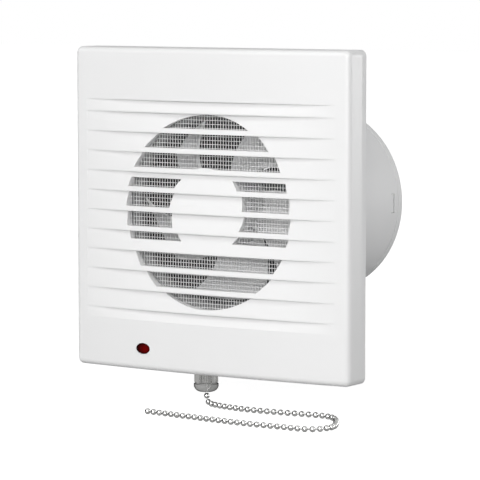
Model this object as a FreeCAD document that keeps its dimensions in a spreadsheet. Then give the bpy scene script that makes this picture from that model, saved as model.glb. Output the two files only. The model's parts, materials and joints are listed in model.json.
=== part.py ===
import FreeCAD, Part
import math
import os
import re

import Sketcher
from FreeCAD import Placement, Rotation, Vector

# Bathroom exhaust fan for a 100 mm duct.
# The frame: +X to the right seen from the room, +Y into the wall, +Z up.
# The origin is on the wall plane, at the centre of the duct.

SIZES = [
    ("corner_radius", 3.2, "corners of the cover and of the base plate"),
    ("front_edge_radius", 3.0, "rounding round the cover's front"),
    ("side_depth", 16.0, "from the wall to the front at the cover's sides"),
    ("front_bulge", 3.9, "how far the middle of the front stands out past its sides"),
    ("cover_wall", 2.2, "wall of the cover's skirt"),
    ("cavity_depth", 15.2, "from the wall to the inner face of the cover's front"),
    ("cavity_edge_radius", 1.0, "rounding inside the cover"),
    ("groove_depth", 3.35, "depth of a louvre's step at the middle of the front"),
    ("louvre_end", 0.15, "depth of a louvre's step at its two ends"),
    ("louvre_pitch", 10.24, "from one louvre lip to the next"),
    ("lip_band", 0.7, "height of the band left over each lip at the middle"),
    ("first_lip_height", 50.2, "height of the first full louvre lip"),
    ("top_louvre_height", 6.3, "height of the short louvre above the first lip"),
    ("bottom_louvre_height", 6.1, "height of the short slope under the last lip"),
    ("slit_height", 7.7, "height of a slit under a lip"),
    ("disc_radius", 22.2, "radius of the closed disc in the opening"),
    ("disc_rise", 0.6, "height of the disc's centre"),
    ("bridge_reach", 16.0, "from the disc's centre to the bars that carry it"),
    ("net_rim_gap", 1.2, "from the inlet ring out to the edge of the rim that the net lies on"),
    ("net_rim_width", 2.8, "width of the rim that the net lies on"),
    ("net_plane_depth", 14.8, "from the wall to the front of the net"),
    ("net_thickness", 0.4, "thickness of the net"),
    ("net_pitch", 5.4, "from one thread of the net to the next"),
    ("net_thread", 0.6, "width of a thread"),
    ("net_margin", 1.6, "solid edge of the net"),
    ("net_ring_width", 3.4, "width of the ring that holds the net"),
    ("net_ring_step", 1.2, "how far that ring reaches out past the rim"),
    ("net_switch_gap", 2.9, "from that ring down to the pull switch"),
    ("net_ring_thickness", 1.6, "thickness of the ring that holds the net"),
    ("snap_length", 12.0, "length of a snap ridge in the skirt"),
    ("snap_place", 40.0, "from the middle of a side to a snap ridge"),
    ("snap_depth", 5.6, "from the wall to a snap ridge"),
    ("snap_height", 1.5, "height of a snap ridge along the wall's normal"),
    ("snap_proud", 0.9, "how far a snap ridge stands out"),
    ("snap_play", 0.4, "room round a snap ridge in its window"),
    ("flange_depth", 4.0, "from the wall to the joint between cover and base plate"),
    ("floor_thickness", 2.4, "thickness of the base plate's floor"),
    ("rim_gap", 0.3, "gap between the skirt and the locating rim"),
    ("rim_wall", 1.6, "wall of the locating rim"),
    ("rim_depth", 9.0, "from the wall to the locating rim's edge"),
    ("notch_half_width", 8.0, "half width of the rim's notch for the pull switch's neck"),
    ("spigot_bore", 48.0, "inner radius of the spigot"),
    ("spigot_wall", 1.6, "wall of the spigot"),
    ("band_lip", 0.2, "how far the band at the spigot's rear edge stands out"),
    ("band_length", 4.0, "length of that band"),
    ("spigot_length", 95.4, "from the wall to the spigot's rear edge"),
    ("inlet_wall", 3.4, "wall of the inlet ring, from the spigot's bore"),
    ("inlet_depth", 9.0, "from the wall to the inlet ring's edge"),
    ("inlet_flare", 1.6, "chamfer at the mouth of the inlet ring"),
    ("wall_screw_inset", 9.5, "from the base plate's sides to a wall screw"),
    ("wall_screw_hole", 2.3, "radius of a wall screw's hole"),
    ("window_start", 84.6, "from the wall to a snap window in the spigot"),
    ("window_length", 3.2, "length of a snap window along the spigot"),
    ("window_width", 10.3, "width of a snap window round the spigot"),
    ("cable_side", 29.5, "from the base plate's right side to the cable entry"),
    ("cable_up", 41.5, "from the base plate's lower side to the cable entry"),
    ("cable_hole", 6.0, "radius of the cable entry's hole"),
    ("cable_bore", 4.0, "bore radius of the grommet"),
    ("grommet_lip", 1.6, "how far the grommet's lips stand past its hole"),
    ("grommet_lip_thickness", 1.4, "thickness of the grommet's inner lip"),
    ("clamp_length", 24.0, "length of the cable clamp"),
    ("clamp_width", 6.0, "width of the cable clamp"),
    ("clamp_thickness", 2.6, "thickness of the cable clamp"),
    ("clamp_height", 4.2, "height of the posts under the cable clamp"),
    ("clamp_below", 11.0, "from the cable entry down to its clamp"),
    ("clamp_post_radius", 2.6, "radius of the posts under the cable clamp"),
    ("terminal_side", 17.5, "from the base plate's right side to the terminal block"),
    ("terminal_pitch", 11.0, "from one pole of the terminal block to the next"),
    ("terminal_up", 10.5, "from the base plate's lower side to the terminal block"),
    ("terminal_height", 14.5, "height of the terminal block"),
    ("terminal_depth", 9.4, "depth of the terminal block off its floor"),
    ("terminal_waist", 2.0, "narrowing between the two poles"),
    ("terminal_bore", 1.7, "radius of the brass tubes in the block"),
    ("terminal_tube_wall", 0.5, "wall of a brass tube"),
    ("terminal_screw_radius", 1.3, "radius of a terminal screw"),
    ("terminal_well", 1.9, "radius of the well over a terminal screw"),
    ("screw_play", 0.1, "gap round a screw in its hole"),
    ("screw_slot", 0.5, "width and depth of the slot in a screw's head"),
    ("small_screw_radius", 1.4, "radius of a self-tapping screw"),
    ("small_head_radius", 2.6, "radius of a self-tapping screw's head"),
    ("small_head_height", 1.5, "height of a self-tapping screw's head"),
    ("small_screw_grip", 5.6, "how deep a self-tapping screw goes below its seat"),
    ("lens_across", 38.8, "sideways place of the lens, to the left"),
    ("lens_up", 11.3, "from the cover's lower side to the lens"),
    ("lens_half_width", 4.3, "half width of the oval lens"),
    ("lens_half_height", 2.8, "half height of the oval lens"),
    ("lens_flange", 1.3, "flange round the lens behind the cover"),
    ("lens_flange_thickness", 1.2, "thickness of that flange"),
    ("lens_play", 0.1, "gap round the lens in its hole"),
    ("lens_proud", 0.4, "how far the lens stands out"),
    ("lamp_radius", 2.0, "radius of the neon lamp"),
    ("lamp_length", 11.0, "length of the neon lamp"),
    ("lamp_depth", 8.6, "from the wall to the lamp's axis"),
    ("holder_half_width", 3.6, "half width of the lamp's cradle"),
    ("holder_wall", 1.2, "wall of the lamp's cradle"),
    ("holder_half_length", 3.2, "half length of the lamp's cradle"),
    ("hub_radius", 19.0, "outer radius of the impeller's hub"),
    ("hub_wall", 1.6, "wall of the impeller's hub"),
    ("hub_front", 7.0, "how far the hub's face stands before the wall plane"),
    ("hub_face", 2.0, "thickness of the hub's face"),
    ("hub_length", 20.0, "length of the hub"),
    ("hub_edge", 1.5, "chamfer round the hub's face"),
    ("boss_radius", 4.5, "radius of the impeller's boss"),
    ("boss_length", 17.0, "length of the impeller's boss"),
    ("tip_gap", 1.2, "gap between the blade tips and the spigot's bore"),
    ("blade_thickness", 1.5, "thickness of a blade"),
    ("blade_camber", 2.2, "camber of a blade"),
    ("blade_middle", 3.6, "from the wall plane to the middle of the blades"),
    ("clip_radius", 4.2, "radius of the push-on clip"),
    ("clip_thickness", 0.8, "thickness of the push-on clip"),
    ("shaft_radius", 2.0, "radius of the motor's shaft"),
    ("shaft_front", 8.8, "how far the shaft reaches before the wall plane"),
    ("shaft_rear", 50.2, "how far the shaft reaches behind the wall plane"),
    ("shaft_fit", 0.03, "radial clearance of the shaft in its bearings"),
    ("press_gap", 0.02, "radial gap drawn at a press fit"),
    ("bearing_radius", 3.5, "outer radius of a sleeve bearing"),
    ("bearing_length", 6.0, "length of a sleeve bearing"),
    ("bracket_boss_radius", 5.2, "radius of a bracket's boss"),
    ("bracket_width", 13.0, "width of a bracket's strap"),
    ("bracket_sheet", 1.6, "thickness of a bracket's strap"),
    ("bracket_rise", 8.0, "height of a bracket over the stator"),
    ("bracket_inner", 9.4, "half width inside a bracket's legs"),
    ("washer_radius", 3.2, "radius of a thrust washer"),
    ("washer_thickness", 0.8, "thickness of a thrust washer"),
    ("core_front", 26.0, "from the wall plane to the stator's front"),
    ("core_length", 12.0, "thickness of the stator's stack"),
    ("core_half_width", 18.0, "half width of the stator"),
    ("core_top", 16.0, "height of the stator's top over the axis"),
    ("core_bottom", 28.0, "depth of the stator's bottom under the axis"),
    ("core_leg", 6.0, "height of the stator's coil leg"),
    ("core_window_top", 12.0, "depth of the window's top under the axis"),
    ("core_window_half", 10.0, "half width of the window"),
    ("rotor_bore", 9.5, "radius of the stator's bore"),
    ("air_gap", 0.3, "gap between rotor and stator"),
    ("rotor_ring", 1.4, "length of a rotor end ring past the stack"),
    ("rotor_ring_step", 0.8, "how far an end ring is smaller than the rotor"),
    ("bobbin_gap", 0.2, "gap between the coil leg and its bobbin"),
    ("bobbin_wall", 1.0, "wall of the bobbin"),
    ("bobbin_half_length", 9.6, "half length of the bobbin"),
    ("bobbin_flange_height", 6.8, "height of the bobbin's flanges"),
    ("coil_inset", 0.8, "how far the coil stays inside the flanges"),
    ("coil_edge", 2.0, "rounding of the coil"),
    ("shade_radius", 0.8, "radius of a shading ring's bar"),
    ("shade_circle", 11.0, "radius at which the shading rings' bars lie"),
    ("bolt_across", 14.0, "from the axis to a motor screw"),
    ("bolt_radius", 1.5, "radius of a motor screw"),
    ("bolt_head_radius", 2.6, "radius of a motor screw's head"),
    ("bolt_head_height", 2.0, "height of a motor screw's head"),
    ("bolt_end", 1.0, "how far a motor screw stands past its nut"),
    ("nut_flats", 5.5, "width over the flats of a motor screw's nut"),
    ("nut_height", 2.4, "height of a motor screw's nut"),
    ("holder_plate_radius", 19.6, "radius of the motor holder's plate"),
    ("holder_plate", 2.4, "thickness of the motor holder's plate"),
    ("holder_plate_gap", 4.0, "from the rear bracket to the motor holder's plate"),
    ("holder_hole", 6.5, "radius of the hole in the motor holder's plate"),
    ("post_radius", 3.0, "radius of the motor holder's posts"),
    ("arm_thickness", 2.6, "thickness of the motor holder's arms"),
    ("arm_height", 7.0, "height of the motor holder's arms"),
    ("holder_ring_start", 76.0, "from the wall to the motor holder's ring"),
    ("holder_ring_length", 14.0, "length of the motor holder's ring"),
    ("holder_ring_wall", 2.2, "wall of the motor holder's ring"),
    ("holder_ring_gap", 0.2, "gap between that ring and the spigot"),
    ("hook_proud", 1.2, "how far a snap hook reaches into its window"),
    ("hook_play", 0.3, "room round a snap hook in its window"),
    ("switch_across", 6.0, "sideways place of the pull switch's axis, to the left"),
    ("switch_depth", 9.2, "from the wall to the pull switch's axis"),
    ("switch_half_width", 13.0, "half width of the switch's box"),
    ("switch_half_depth", 5.7, "half depth of the switch's box"),
    ("switch_wall", 1.2, "wall of the switch's box"),
    ("lock_nut_height", 1.4, "height of the lock nut"),
    ("switch_height", 22.0, "height of the switch's box"),
    ("neck_radius", 4.0, "radius of the threaded neck"),
    ("rod_fit", 0.06, "radial clearance of the pull rod in the neck"),
    ("neck_hole_play", 0.15, "gap round the neck in the skirt"),
    ("neck_flange_radius", 5.6, "radius of the neck's flange"),
    ("neck_flange_height", 1.2, "height of the neck's flange"),
    ("neck_plug_radius", 3.4, "radius of the neck's end in the box"),
    ("neck_below", 7.5, "how far the neck reaches below the skirt"),
    ("lock_nut_flats", 9.9, "width over the flats of the lock nut"),
    ("thread_gap", 0.05, "radial gap drawn at a thread"),
    ("knurl_radius", 6.15, "radius of the knurled nut"),
    ("knurl_height", 5.0, "height of the knurled nut"),
    ("knurl_notch", 0.35, "depth of a notch in the knurl"),
    ("knurl_edge", 0.4, "chamfer of the knurled nut"),
    ("bell_radius", 6.4, "radius of the polished bell under the nut"),
    ("bell_height", 4.6, "height of the polished bell"),
    ("bell_rim", 1.0, "height of the bell's straight rim"),
    ("bell_round", 3.5, "radius of the bell's rounded lower part"),
    ("bell_groove", 0.5, "depth and height of the groove over the bell"),
    ("bell_mouth", 2.7, "radius of the bell's mouth"),
    ("rod_radius", 1.6, "radius of the pull rod"),
    ("rod_end", 11.3, "from the box's bottom down to the pull rod's end"),
    ("rod_down", 3.3, "from the box's top down to the pull rod's top"),
    ("rod_head_radius", 3.2, "radius of the pull rod's collar"),
    ("rod_head_height", 1.0, "height of the pull rod's collar"),
    ("rod_head_up", 11.7, "from the box's bottom up to the collar's top"),
    ("spring_radius", 2.9, "outer radius of the return spring"),
    ("spring_wire", 0.5, "wire of the return spring"),
    ("spring_gap", 0.1, "gap at the ends of the return spring"),
    ("wheel_across", 6.6, "from the rod's axis to the ratchet wheel's"),
    ("wheel_down", 5.0, "from the box's top down to the wheel's axis"),
    ("wheel_radius", 3.2, "radius of the ratchet wheel"),
    ("wheel_tooth", 0.5, "height of a ratchet tooth"),
    ("wheel_thickness", 3.0, "thickness of the ratchet wheel"),
    ("wheel_pin", 0.8, "radius of the wheel's pin"),
    ("wheel_fit", 0.05, "radial clearance of the wheel on its pin"),
    ("contact_sheet", 0.4, "thickness of a contact"),
    ("contact_width", 2.6, "width of a contact"),
    ("contact_gap", 0.3, "gap between a contact and the wheel"),
    ("contact_tab", 3.0, "how far a contact's tab stands out of the box"),
    ("contact_slot_play", 0.1, "gap round a contact in its slot"),
    ("feed_tab_up", 10.3, "from the box's bottom up to the feed contact's tab"),
    ("load_tab_up", 6.7, "from the box's bottom up to the load contact's tab"),
    ("wire_radius", 0.8, "radius of an inner wire with its sleeve"),
    ("wire_bend", 3.0, "bend radius of an inner wire"),
    ("wire_gap", 0.1, "gap at the ends of an inner wire"),
    ("chain_radius", 1.5, "radius of the bead chain"),
    ("overrun", 1.0, "how far a cutting tool runs past what it cuts"),
]

# Sizes that follow from the others: the cover is as wide as the net's ring and the pull switch need.
DERIVED = [
    ("spigot_radius", "spigot_bore + spigot_wall", "outer radius of the spigot"),
    ("tip_radius", "spigot_bore - tip_gap", "radius of the blade tips"),
    ("inlet_radius", "spigot_bore + inlet_wall", "outer radius of the inlet ring"),
    ("net_rim_radius", "inlet_radius + net_rim_gap", "outer radius of the rim that the net lies on"),
    ("opening_radius", "net_rim_radius - net_rim_width", "radius of the round slotted opening"),
    ("switch_room", "switch_height + neck_flange_height + lock_nut_height",
     "from the skirt up to the switch's top"),
    ("plate_width", "2 * (net_rim_radius + net_ring_step + net_switch_gap + switch_room + cover_wall)",
     "width and height of the square cover"),
]

NET_LIMIT = 300
KNURL_COUNT = 40
LOUVRE_COUNT = 11
BLADE_COUNT = 5
TOOTH_COUNT = 8

# The chain's route, in millimetres: out of the bell, down, and along the surface under the switch.
CHAIN_ROUTE = [
    (-6.0, -9.2, -90.0),
    (-6.0, -9.2, -98.7),
    (2.5, -14.8, -98.7),
    (15.0, -18.4, -98.7),
    (33.0, -19.6, -98.7),
    (55.0, -16.7, -98.7),
    (70.0, -14.9, -98.7),
    (78.5, -20.0, -98.7),
    (87.0, -33.5, -98.7),
    (92.0, -45.5, -98.7),
    (85.5, -56.5, -98.7),
    (72.0, -56.2, -98.7),
    (50.0, -57.3, -98.7),
    (28.0, -55.8, -98.7),
    (5.0, -53.1, -98.7),
    (-15.0, -51.0, -98.7),
]
CHAIN_ARC_SHARE = 0.45
LIP_MARGIN_SHARE = 0.75

# Blade stations from root to tip: radius, chord and axial lean as shares of the tip radius,
# then the blade's angle to the plane of rotation and its sweep, in degrees.
BLADE_STATION_SHARES = [
    (0.28, 0.44, 50.0, 6.0),
    (0.50, 0.56, 39.0, 0.0),
    (0.76, 0.70, 30.0, -12.0),
    (1.06, 0.84, 24.0, -28.0),
]

doc = FreeCAD.newDocument("BathroomFan")
sheet = doc.addObject("Spreadsheet::Sheet", "Sizes")
for row, (alias, number, meaning) in enumerate(SIZES, start=1):
    sheet.set(f"A{row}", meaning)
    sheet.set(f"B{row}", str(number))
    sheet.setAlias(f"B{row}", alias)
for row, (alias, formula, meaning) in enumerate(DERIVED, start=len(SIZES) + 1):
    sheet.set(f"A{row}", meaning)
    sheet.set(f"B{row}", f"={formula}")
    sheet.setAlias(f"B{row}", alias)
doc.recompute()
ALIASES = {entry[0] for entry in SIZES + DERIVED}
NODES = []


# Names and values

def qualified(expression):
    """The expression with each alias written as a cell of the sheet."""
    return re.sub(r"[a-z][a-z_]*", lambda m: f"Sizes.{m[0]}" if m[0] in ALIASES else m[0], expression)


def value(expression):
    """The number that an expression over the sheet gives."""
    return float(sheet.evalExpression(qualified(expression)))


def bind(feature, target, expression):
    feature.setExpression(target, qualified(expression))


def node(feature, name):
    """Makes a feature one of the fan's own pieces."""
    feature.Label = name
    NODES.append(feature)
    return feature


# Solids bound to the sheet

TURN = {
    "X": Rotation(Vector(0, 1, 0), 90),
    "Y": Rotation(Vector(1, 0, 0), -90),
    "Z": Rotation(),
}


def put(feature, x="0", y="0", z="0", rotation=None):
    """Places a feature, with its three coordinates bound to the sheet."""
    feature.Placement = Placement(Vector(), rotation or Rotation())
    for axis, expression in zip("xyz", (x, y, z)):
        if expression != "0":
            bind(feature, f"Placement.Base.{axis}", expression)
    return feature


def cylinder(name, radius, length, x="0", y="0", z="0", along="Y"):
    feature = doc.addObject("Part::Cylinder", name)
    bind(feature, "Radius", radius)
    bind(feature, "Height", length)
    return put(feature, x, y, z, TURN[along])


def box(name, x, y, z):
    """A box between the two expressions given for each axis, lowest first."""
    feature = doc.addObject("Part::Box", name)
    for target, (low, high) in zip(("Length", "Width", "Height"), (x, y, z)):
        bind(feature, target, f"({high}) - ({low})")
    return put(feature, x[0], y[0], z[0])


def cut(name, base, *tools):
    feature = doc.addObject("Part::Cut", name)
    feature.Base = base
    feature.Tool = tools[0] if len(tools) == 1 else fuse(f"{name}_tools", *tools)
    return feature


def fuse(name, *parts):
    feature = doc.addObject("Part::MultiFuse", name)
    feature.Shapes = list(parts)
    return feature


def common(name, *parts):
    feature = doc.addObject("Part::MultiCommon", name)
    feature.Shapes = list(parts)
    return feature


def group(name, *parts):
    """Separate solids that make one node, such as a set of screws."""
    feature = doc.addObject("Part::Compound", name)
    feature.Links = list(parts)
    return feature


def shaped(name, shape):
    """A feature whose shape is made here from the sheet's numbers."""
    feature = doc.addObject("Part::Feature", name)
    feature.Shape = shape
    return feature


def rounded(name, base, radius, choose):
    """Fillets the edges that the test chooses."""
    doc.recompute()
    size = value(radius)
    feature = doc.addObject("Part::Fillet", name)
    feature.Base = base
    feature.Edges = [(i, size, size) for i, edge in enumerate(base.Shape.Edges, start=1) if choose(edge)]
    return feature


def middle(edge):
    return edge.valueAt((edge.FirstParameter + edge.LastParameter) / 2)


def runs_along(edge, axis):
    """Whether a straight edge runs along the axis."""
    if not isinstance(edge.Curve, Part.Line):
        return False
    return abs(edge.Curve.Direction.dot(axis)) > math.cos(math.radians(1))


# Bodies drawn as sketches

def new_body(name):
    return doc.addObject("PartDesign::Body", name)


def plane_of(body, role):
    return next(feature for feature in body.Origin.OriginFeatures if feature.Role == role)


def start_sketch(body, name, plane, offset="0"):
    sketch = body.newObject("Sketcher::SketchObject", name)
    sketch.AttachmentSupport = [(plane_of(body, plane), "")]
    sketch.MapMode = "FlatFace"
    if offset != "0":
        bind(sketch, "AttachmentOffset.Base.z", offset)
    return sketch


def pin_point(sketch, line, end, across, up):
    """Fixes one end of a line by its two distances from the sketch's origin."""
    for kind, expression in (("DistanceX", across), ("DistanceY", up)):
        index = sketch.addConstraint(Sketcher.Constraint(kind, -1, 1, line, end, value(expression)))
        if expression != "0":
            bind(sketch, f"Constraints[{index}]", expression)


def polygon(sketch, points):
    corners = [Vector(value(across), value(up), 0) for across, up in points]
    count = len(corners)
    for i, corner in enumerate(corners):
        sketch.addGeometry(Part.LineSegment(corner, corners[(i + 1) % count]), False)
    for i in range(count):
        sketch.addConstraint(Sketcher.Constraint("Coincident", i, 2, (i + 1) % count, 1))
    for i, (across, up) in enumerate(points):
        pin_point(sketch, i, 1, across, up)
    return sketch


def turned(name, points, axis="Y", x="0", y="0", z="0"):
    """A turned piece: its outline as pairs of radius and place along the axis."""
    body = new_body(name)
    plane = {"Y": "XY_Plane", "Z": "XZ_Plane"}[axis]
    sketch = polygon(start_sketch(body, f"{name}_outline", plane), points)
    turn = body.newObject("PartDesign::Revolution", f"{name}_turn")
    turn.Profile = sketch
    turn.ReferenceAxis = (sketch, ["V_Axis"])
    turn.Angle = 360.0
    put(body, x, y, z)
    return body


def prism(name, points, plane, start, length):
    """A flat outline padded from a plane parallel to one of the origin planes."""
    body = new_body(name)
    sketch = polygon(start_sketch(body, f"{name}_outline", plane, start), points)
    pad = body.newObject("PartDesign::Pad", f"{name}_pad")
    pad.Profile = sketch
    bind(pad, "Length", length)
    return body


def screw(name, x, y, z, grip, radius="small_screw_radius", head="small_head_radius",
          head_height="small_head_height"):
    """A slotted screw whose head faces the room, with its seat at y."""
    shank = cylinder(f"{name}_shank", radius, grip, x, y, z)
    top = cylinder(f"{name}_head", head, head_height, x, f"{y} - {head_height}", z)
    slot = box(
        f"{name}_slot",
        (f"{x} - {head} - overrun", f"{x} + {head} + overrun"),
        (f"{y} - {head_height} - overrun", f"{y} - {head_height} + screw_slot"),
        (f"{z} - screw_slot / 2", f"{z} + screw_slot / 2"),
    )
    return cut(name, fuse(f"{name}_blank", shank, top), slot)


# The louvred front cover

HALF = "plate_width / 2"
SKIRT_TOP = f"(-{HALF} + cover_wall)"
INNER_CORNER = "(corner_radius / 3)"
LENS_Z = f"(-{HALF} + lens_up)"
SCREW_PLACE = f"({HALF} - wall_screw_inset)"
CABLE_X = f"({HALF} - cable_side)"
CABLE_Z = f"(-{HALF} + cable_up)"
CLAMP_Z = f"({CABLE_Z} - clamp_below)"
WINDOW_REACH = "(spigot_radius + band_lip + overrun)"
FRONT_MIDDLE = "(side_depth + front_bulge)"


def cover_blank():
    """The cover's outside: a square block whose front bulges about an upright axis."""
    body = new_body("cover_blank")
    sketch = start_sketch(body, "cover_outline", "XY_Plane", f"-{HALF}")
    half = value(HALF)
    near = -value("flange_depth")
    side = -value("side_depth")
    front = -value(FRONT_MIDDLE)
    corners = [Vector(-half, near, 0), Vector(-half, side, 0), Vector(half, side, 0), Vector(half, near, 0)]
    sketch.addGeometry(Part.LineSegment(corners[0], corners[1]), False)
    sketch.addGeometry(Part.Arc(corners[1], Vector(0, front, 0), corners[2]), False)
    sketch.addGeometry(Part.LineSegment(corners[2], corners[3]), False)
    sketch.addGeometry(Part.LineSegment(corners[3], corners[0]), False)
    for i in range(len(corners)):
        sketch.addConstraint(Sketcher.Constraint("Coincident", i, 2, (i + 1) % len(corners), 1))
    pin_point(sketch, 0, 1, f"-{HALF}", "-flange_depth")
    pin_point(sketch, 0, 2, f"-{HALF}", "-side_depth")
    pin_point(sketch, 2, 1, HALF, "-side_depth")
    pin_point(sketch, 2, 2, HALF, "-flange_depth")
    radius = "(plate_width * plate_width / 4 + front_bulge * front_bulge) / (2 * front_bulge)"
    index = sketch.addConstraint(Sketcher.Constraint("Radius", 1, value(radius)))
    bind(sketch, f"Constraints[{index}]", radius)
    pad = body.newObject("PartDesign::Pad", "cover_pad")
    pad.Profile = sketch
    bind(pad, "Length", "plate_width")

    doc.recompute()
    corners_fillet = body.newObject("PartDesign::Fillet", "cover_corners")
    upright = [
        f"Edge{i}" for i, edge in enumerate(pad.Shape.Edges, start=1)
        if runs_along(edge, Vector(0, 1, 0))
    ]
    corners_fillet.Base = (pad, upright)
    bind(corners_fillet, "Radius", "corner_radius")

    doc.recompute()
    edge_fillet = body.newObject("PartDesign::Fillet", "cover_front_edge")
    reach = (side + near) / 2
    front_edges = [
        f"Edge{i}" for i, edge in enumerate(corners_fillet.Shape.Edges, start=1)
        if all(edge.valueAt(u).y < reach for u in (edge.FirstParameter, edge.LastParameter))
    ]
    edge_fillet.Base = (corners_fillet, front_edges)
    bind(edge_fillet, "Radius", "front_edge_radius")
    return body


def cover_cavity():
    """What is hollowed out of the cover from behind."""
    inner = f"({HALF} - cover_wall)"
    hollow = box(
        "cover_hollow",
        (f"-{inner}", inner),
        ("-cavity_depth", "-flange_depth + overrun"),
        (f"-{inner}", inner),
    )
    near_corner = rounded(
        "cover_hollow_corners", hollow, INNER_CORNER,
        lambda edge: runs_along(edge, Vector(0, 1, 0)),
    )
    doc.recompute()
    depth = -value("cavity_depth")
    return rounded(
        "cover_hollow_edges", near_corner, "cavity_edge_radius",
        lambda edge: abs(middle(edge).y - depth) < value("overrun") / 10,
    )


def groove(index, lip, height):
    """One louvre: a flat step under its lip, and a slope that meets the bulged front above the next lip."""
    bulge = value("front_bulge")
    radius = (value(HALF) ** 2 + bulge * bulge) / (2 * bulge)
    depth, end_step = value("groove_depth"), value("louvre_end")
    sag = depth - end_step
    reach = math.sqrt(2 * radius * sag - sag * sag)
    floor = value(FRONT_MIDDLE) - depth
    outside = value(f"{FRONT_MIDDLE} + overrun")
    top = value(lip)
    foot = value(f"{lip} - {height} + lip_band")
    margin = value("lip_band") * LIP_MARGIN_SHARE
    past = 1 + margin / (top - foot)
    low = foot - margin

    flat = [Vector(-reach, -floor, top), Vector(reach, -floor, top),
            Vector(reach, -outside, top), Vector(-reach, -outside, top)]
    end_depth = floor + end_step * past
    bowed = [Vector(-reach, -end_depth, low), Vector(reach, -end_depth, low),
             Vector(reach, -outside, low), Vector(-reach, -outside, low)]
    crown = Vector(0, -(floor + depth * past), low)
    inner = {"flat": Part.makeLine(flat[0], flat[1]), "bowed": Part.Arc(bowed[0], crown, bowed[1]).toShape()}
    sections = []
    for name, points in (("flat", flat), ("bowed", bowed)):
        rest = [Part.makeLine(points[i], points[(i + 1) % 4]) for i in (1, 2, 3)]
        sections.append(Part.Wire([inner[name]] + rest))
    return shaped(f"groove_{index}", Part.makeLoft(sections, True, True))


def lip_height(index):
    return f"(first_lip_height - {index} * louvre_pitch)"


def slit_slab(index):
    """The height that one row of slits takes, less the bars that carry the disc."""
    top = value(lip_height(index))
    low = top - value("slit_height")
    reach = value("bridge_reach")
    rise = value("disc_rise")
    top_text = lip_height(index)
    low_text = f"{lip_height(index)} - slit_height"
    if low < rise + reach < top:
        top_text = "disc_rise + bridge_reach"
    if low < rise - reach < top:
        low_text = "disc_rise - bridge_reach"
    across = "(opening_radius + overrun)"
    depth = (f"-({FRONT_MIDDLE} + overrun)", "-cavity_depth + overrun")
    return box(f"slit_slab_{index}", (f"-{across}", across), depth, (low_text, top_text))


def ring(name, outer, inner, start, length, x="0", z="0"):
    wide = cylinder(f"{name}_outer", outer, length, x, start, z)
    narrow = cylinder(f"{name}_inner", inner, f"{length} + 2 * overrun", x, f"{start} - overrun", z)
    return cut(name, wide, narrow)


def oval(name, grow, start, length):
    """An oval block where the lens sits, grown by the given length all round."""
    curve = doc.addObject("Part::Ellipse", f"{name}_curve")
    bind(curve, "MajorRadius", f"lens_half_width + {grow}")
    bind(curve, "MinorRadius", f"lens_half_height + {grow}")
    put(curve, "-lens_across", start, LENS_Z, Rotation(Vector(1, 0, 0), 90))
    block = doc.addObject("Part::Extrusion", name)
    block.Base = curve
    block.DirMode = "Custom"
    block.Dir = Vector(0, 1, 0)
    block.Solid = True
    bind(block, "LengthFwd", length)
    return block


def snap_ridges(grow, proud, inner):
    """The four pairs of ridges in the skirt, or their windows in the locating rim."""
    blocks = []
    half = f"(snap_length / 2 + {grow})"
    depth = (f"-snap_depth - snap_height / 2 - {grow}", f"-snap_depth + snap_height / 2 + {grow}")
    for number, side in enumerate(("-", "")):
        for place_number, place in enumerate(("-", "")):
            centre = f"{place}snap_place"
            along = (f"{centre} - {half}", f"{centre} + {half}")
            low, high = f"{inner} - {proud}", f"{inner} + cover_wall / 2"
            across = (low, high) if side == "" else (f"-({high})", f"-({low})")
            label = f"snap_{'window' if grow != '0' else 'ridge'}_{number}_{place_number}"
            blocks.append(box(label, across, depth, along))
    return blocks


def front_cover():
    shell = cut("cover_shell", cover_blank(), cover_cavity())
    grooves = [groove(0, "(first_lip_height + top_louvre_height)", "top_louvre_height")]
    for i in range(LOUVRE_COUNT - 1):
        grooves.append(groove(i + 1, lip_height(i), "louvre_pitch"))
    grooves.append(groove(LOUVRE_COUNT, lip_height(LOUVRE_COUNT - 1), "bottom_louvre_height"))
    louvred = cut("cover_louvred", shell, *grooves)
    slabs = fuse("slit_slabs", *[slit_slab(i) for i in range(LOUVRE_COUNT - 1)])
    field = cylinder("slit_field", "opening_radius", f"{FRONT_MIDDLE} + overrun", "0",
                     f"-({FRONT_MIDDLE} + overrun)")
    disc = cylinder("slit_disc", "disc_radius", f"{FRONT_MIDDLE} + 2 * overrun", "0",
                    f"-({FRONT_MIDDLE} + 2 * overrun)", "disc_rise")
    slits = common("slits", slabs, cut("slit_ring", field, disc))
    rim = ring("net_rim", "net_rim_radius", "opening_radius", "-cavity_depth",
               "cavity_depth - net_plane_depth")
    ridges = snap_ridges("0", "snap_proud", f"({HALF} - cover_wall)")
    lens_hole = oval("lens_hole", "lens_play", f"-({FRONT_MIDDLE} + overrun)", FRONT_MIDDLE)
    neck_hole = cylinder("skirt_hole", "neck_radius + neck_hole_play", "cover_wall + 2 * overrun",
                         "-switch_across", "-switch_depth", f"-({HALF} + overrun)", "Z")
    solid = fuse("cover_solid", louvred, rim, *ridges)
    return node(cut("front_cover", solid, slits, lens_hole, neck_hole), "front_cover")


# The insect net and its ring

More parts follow.
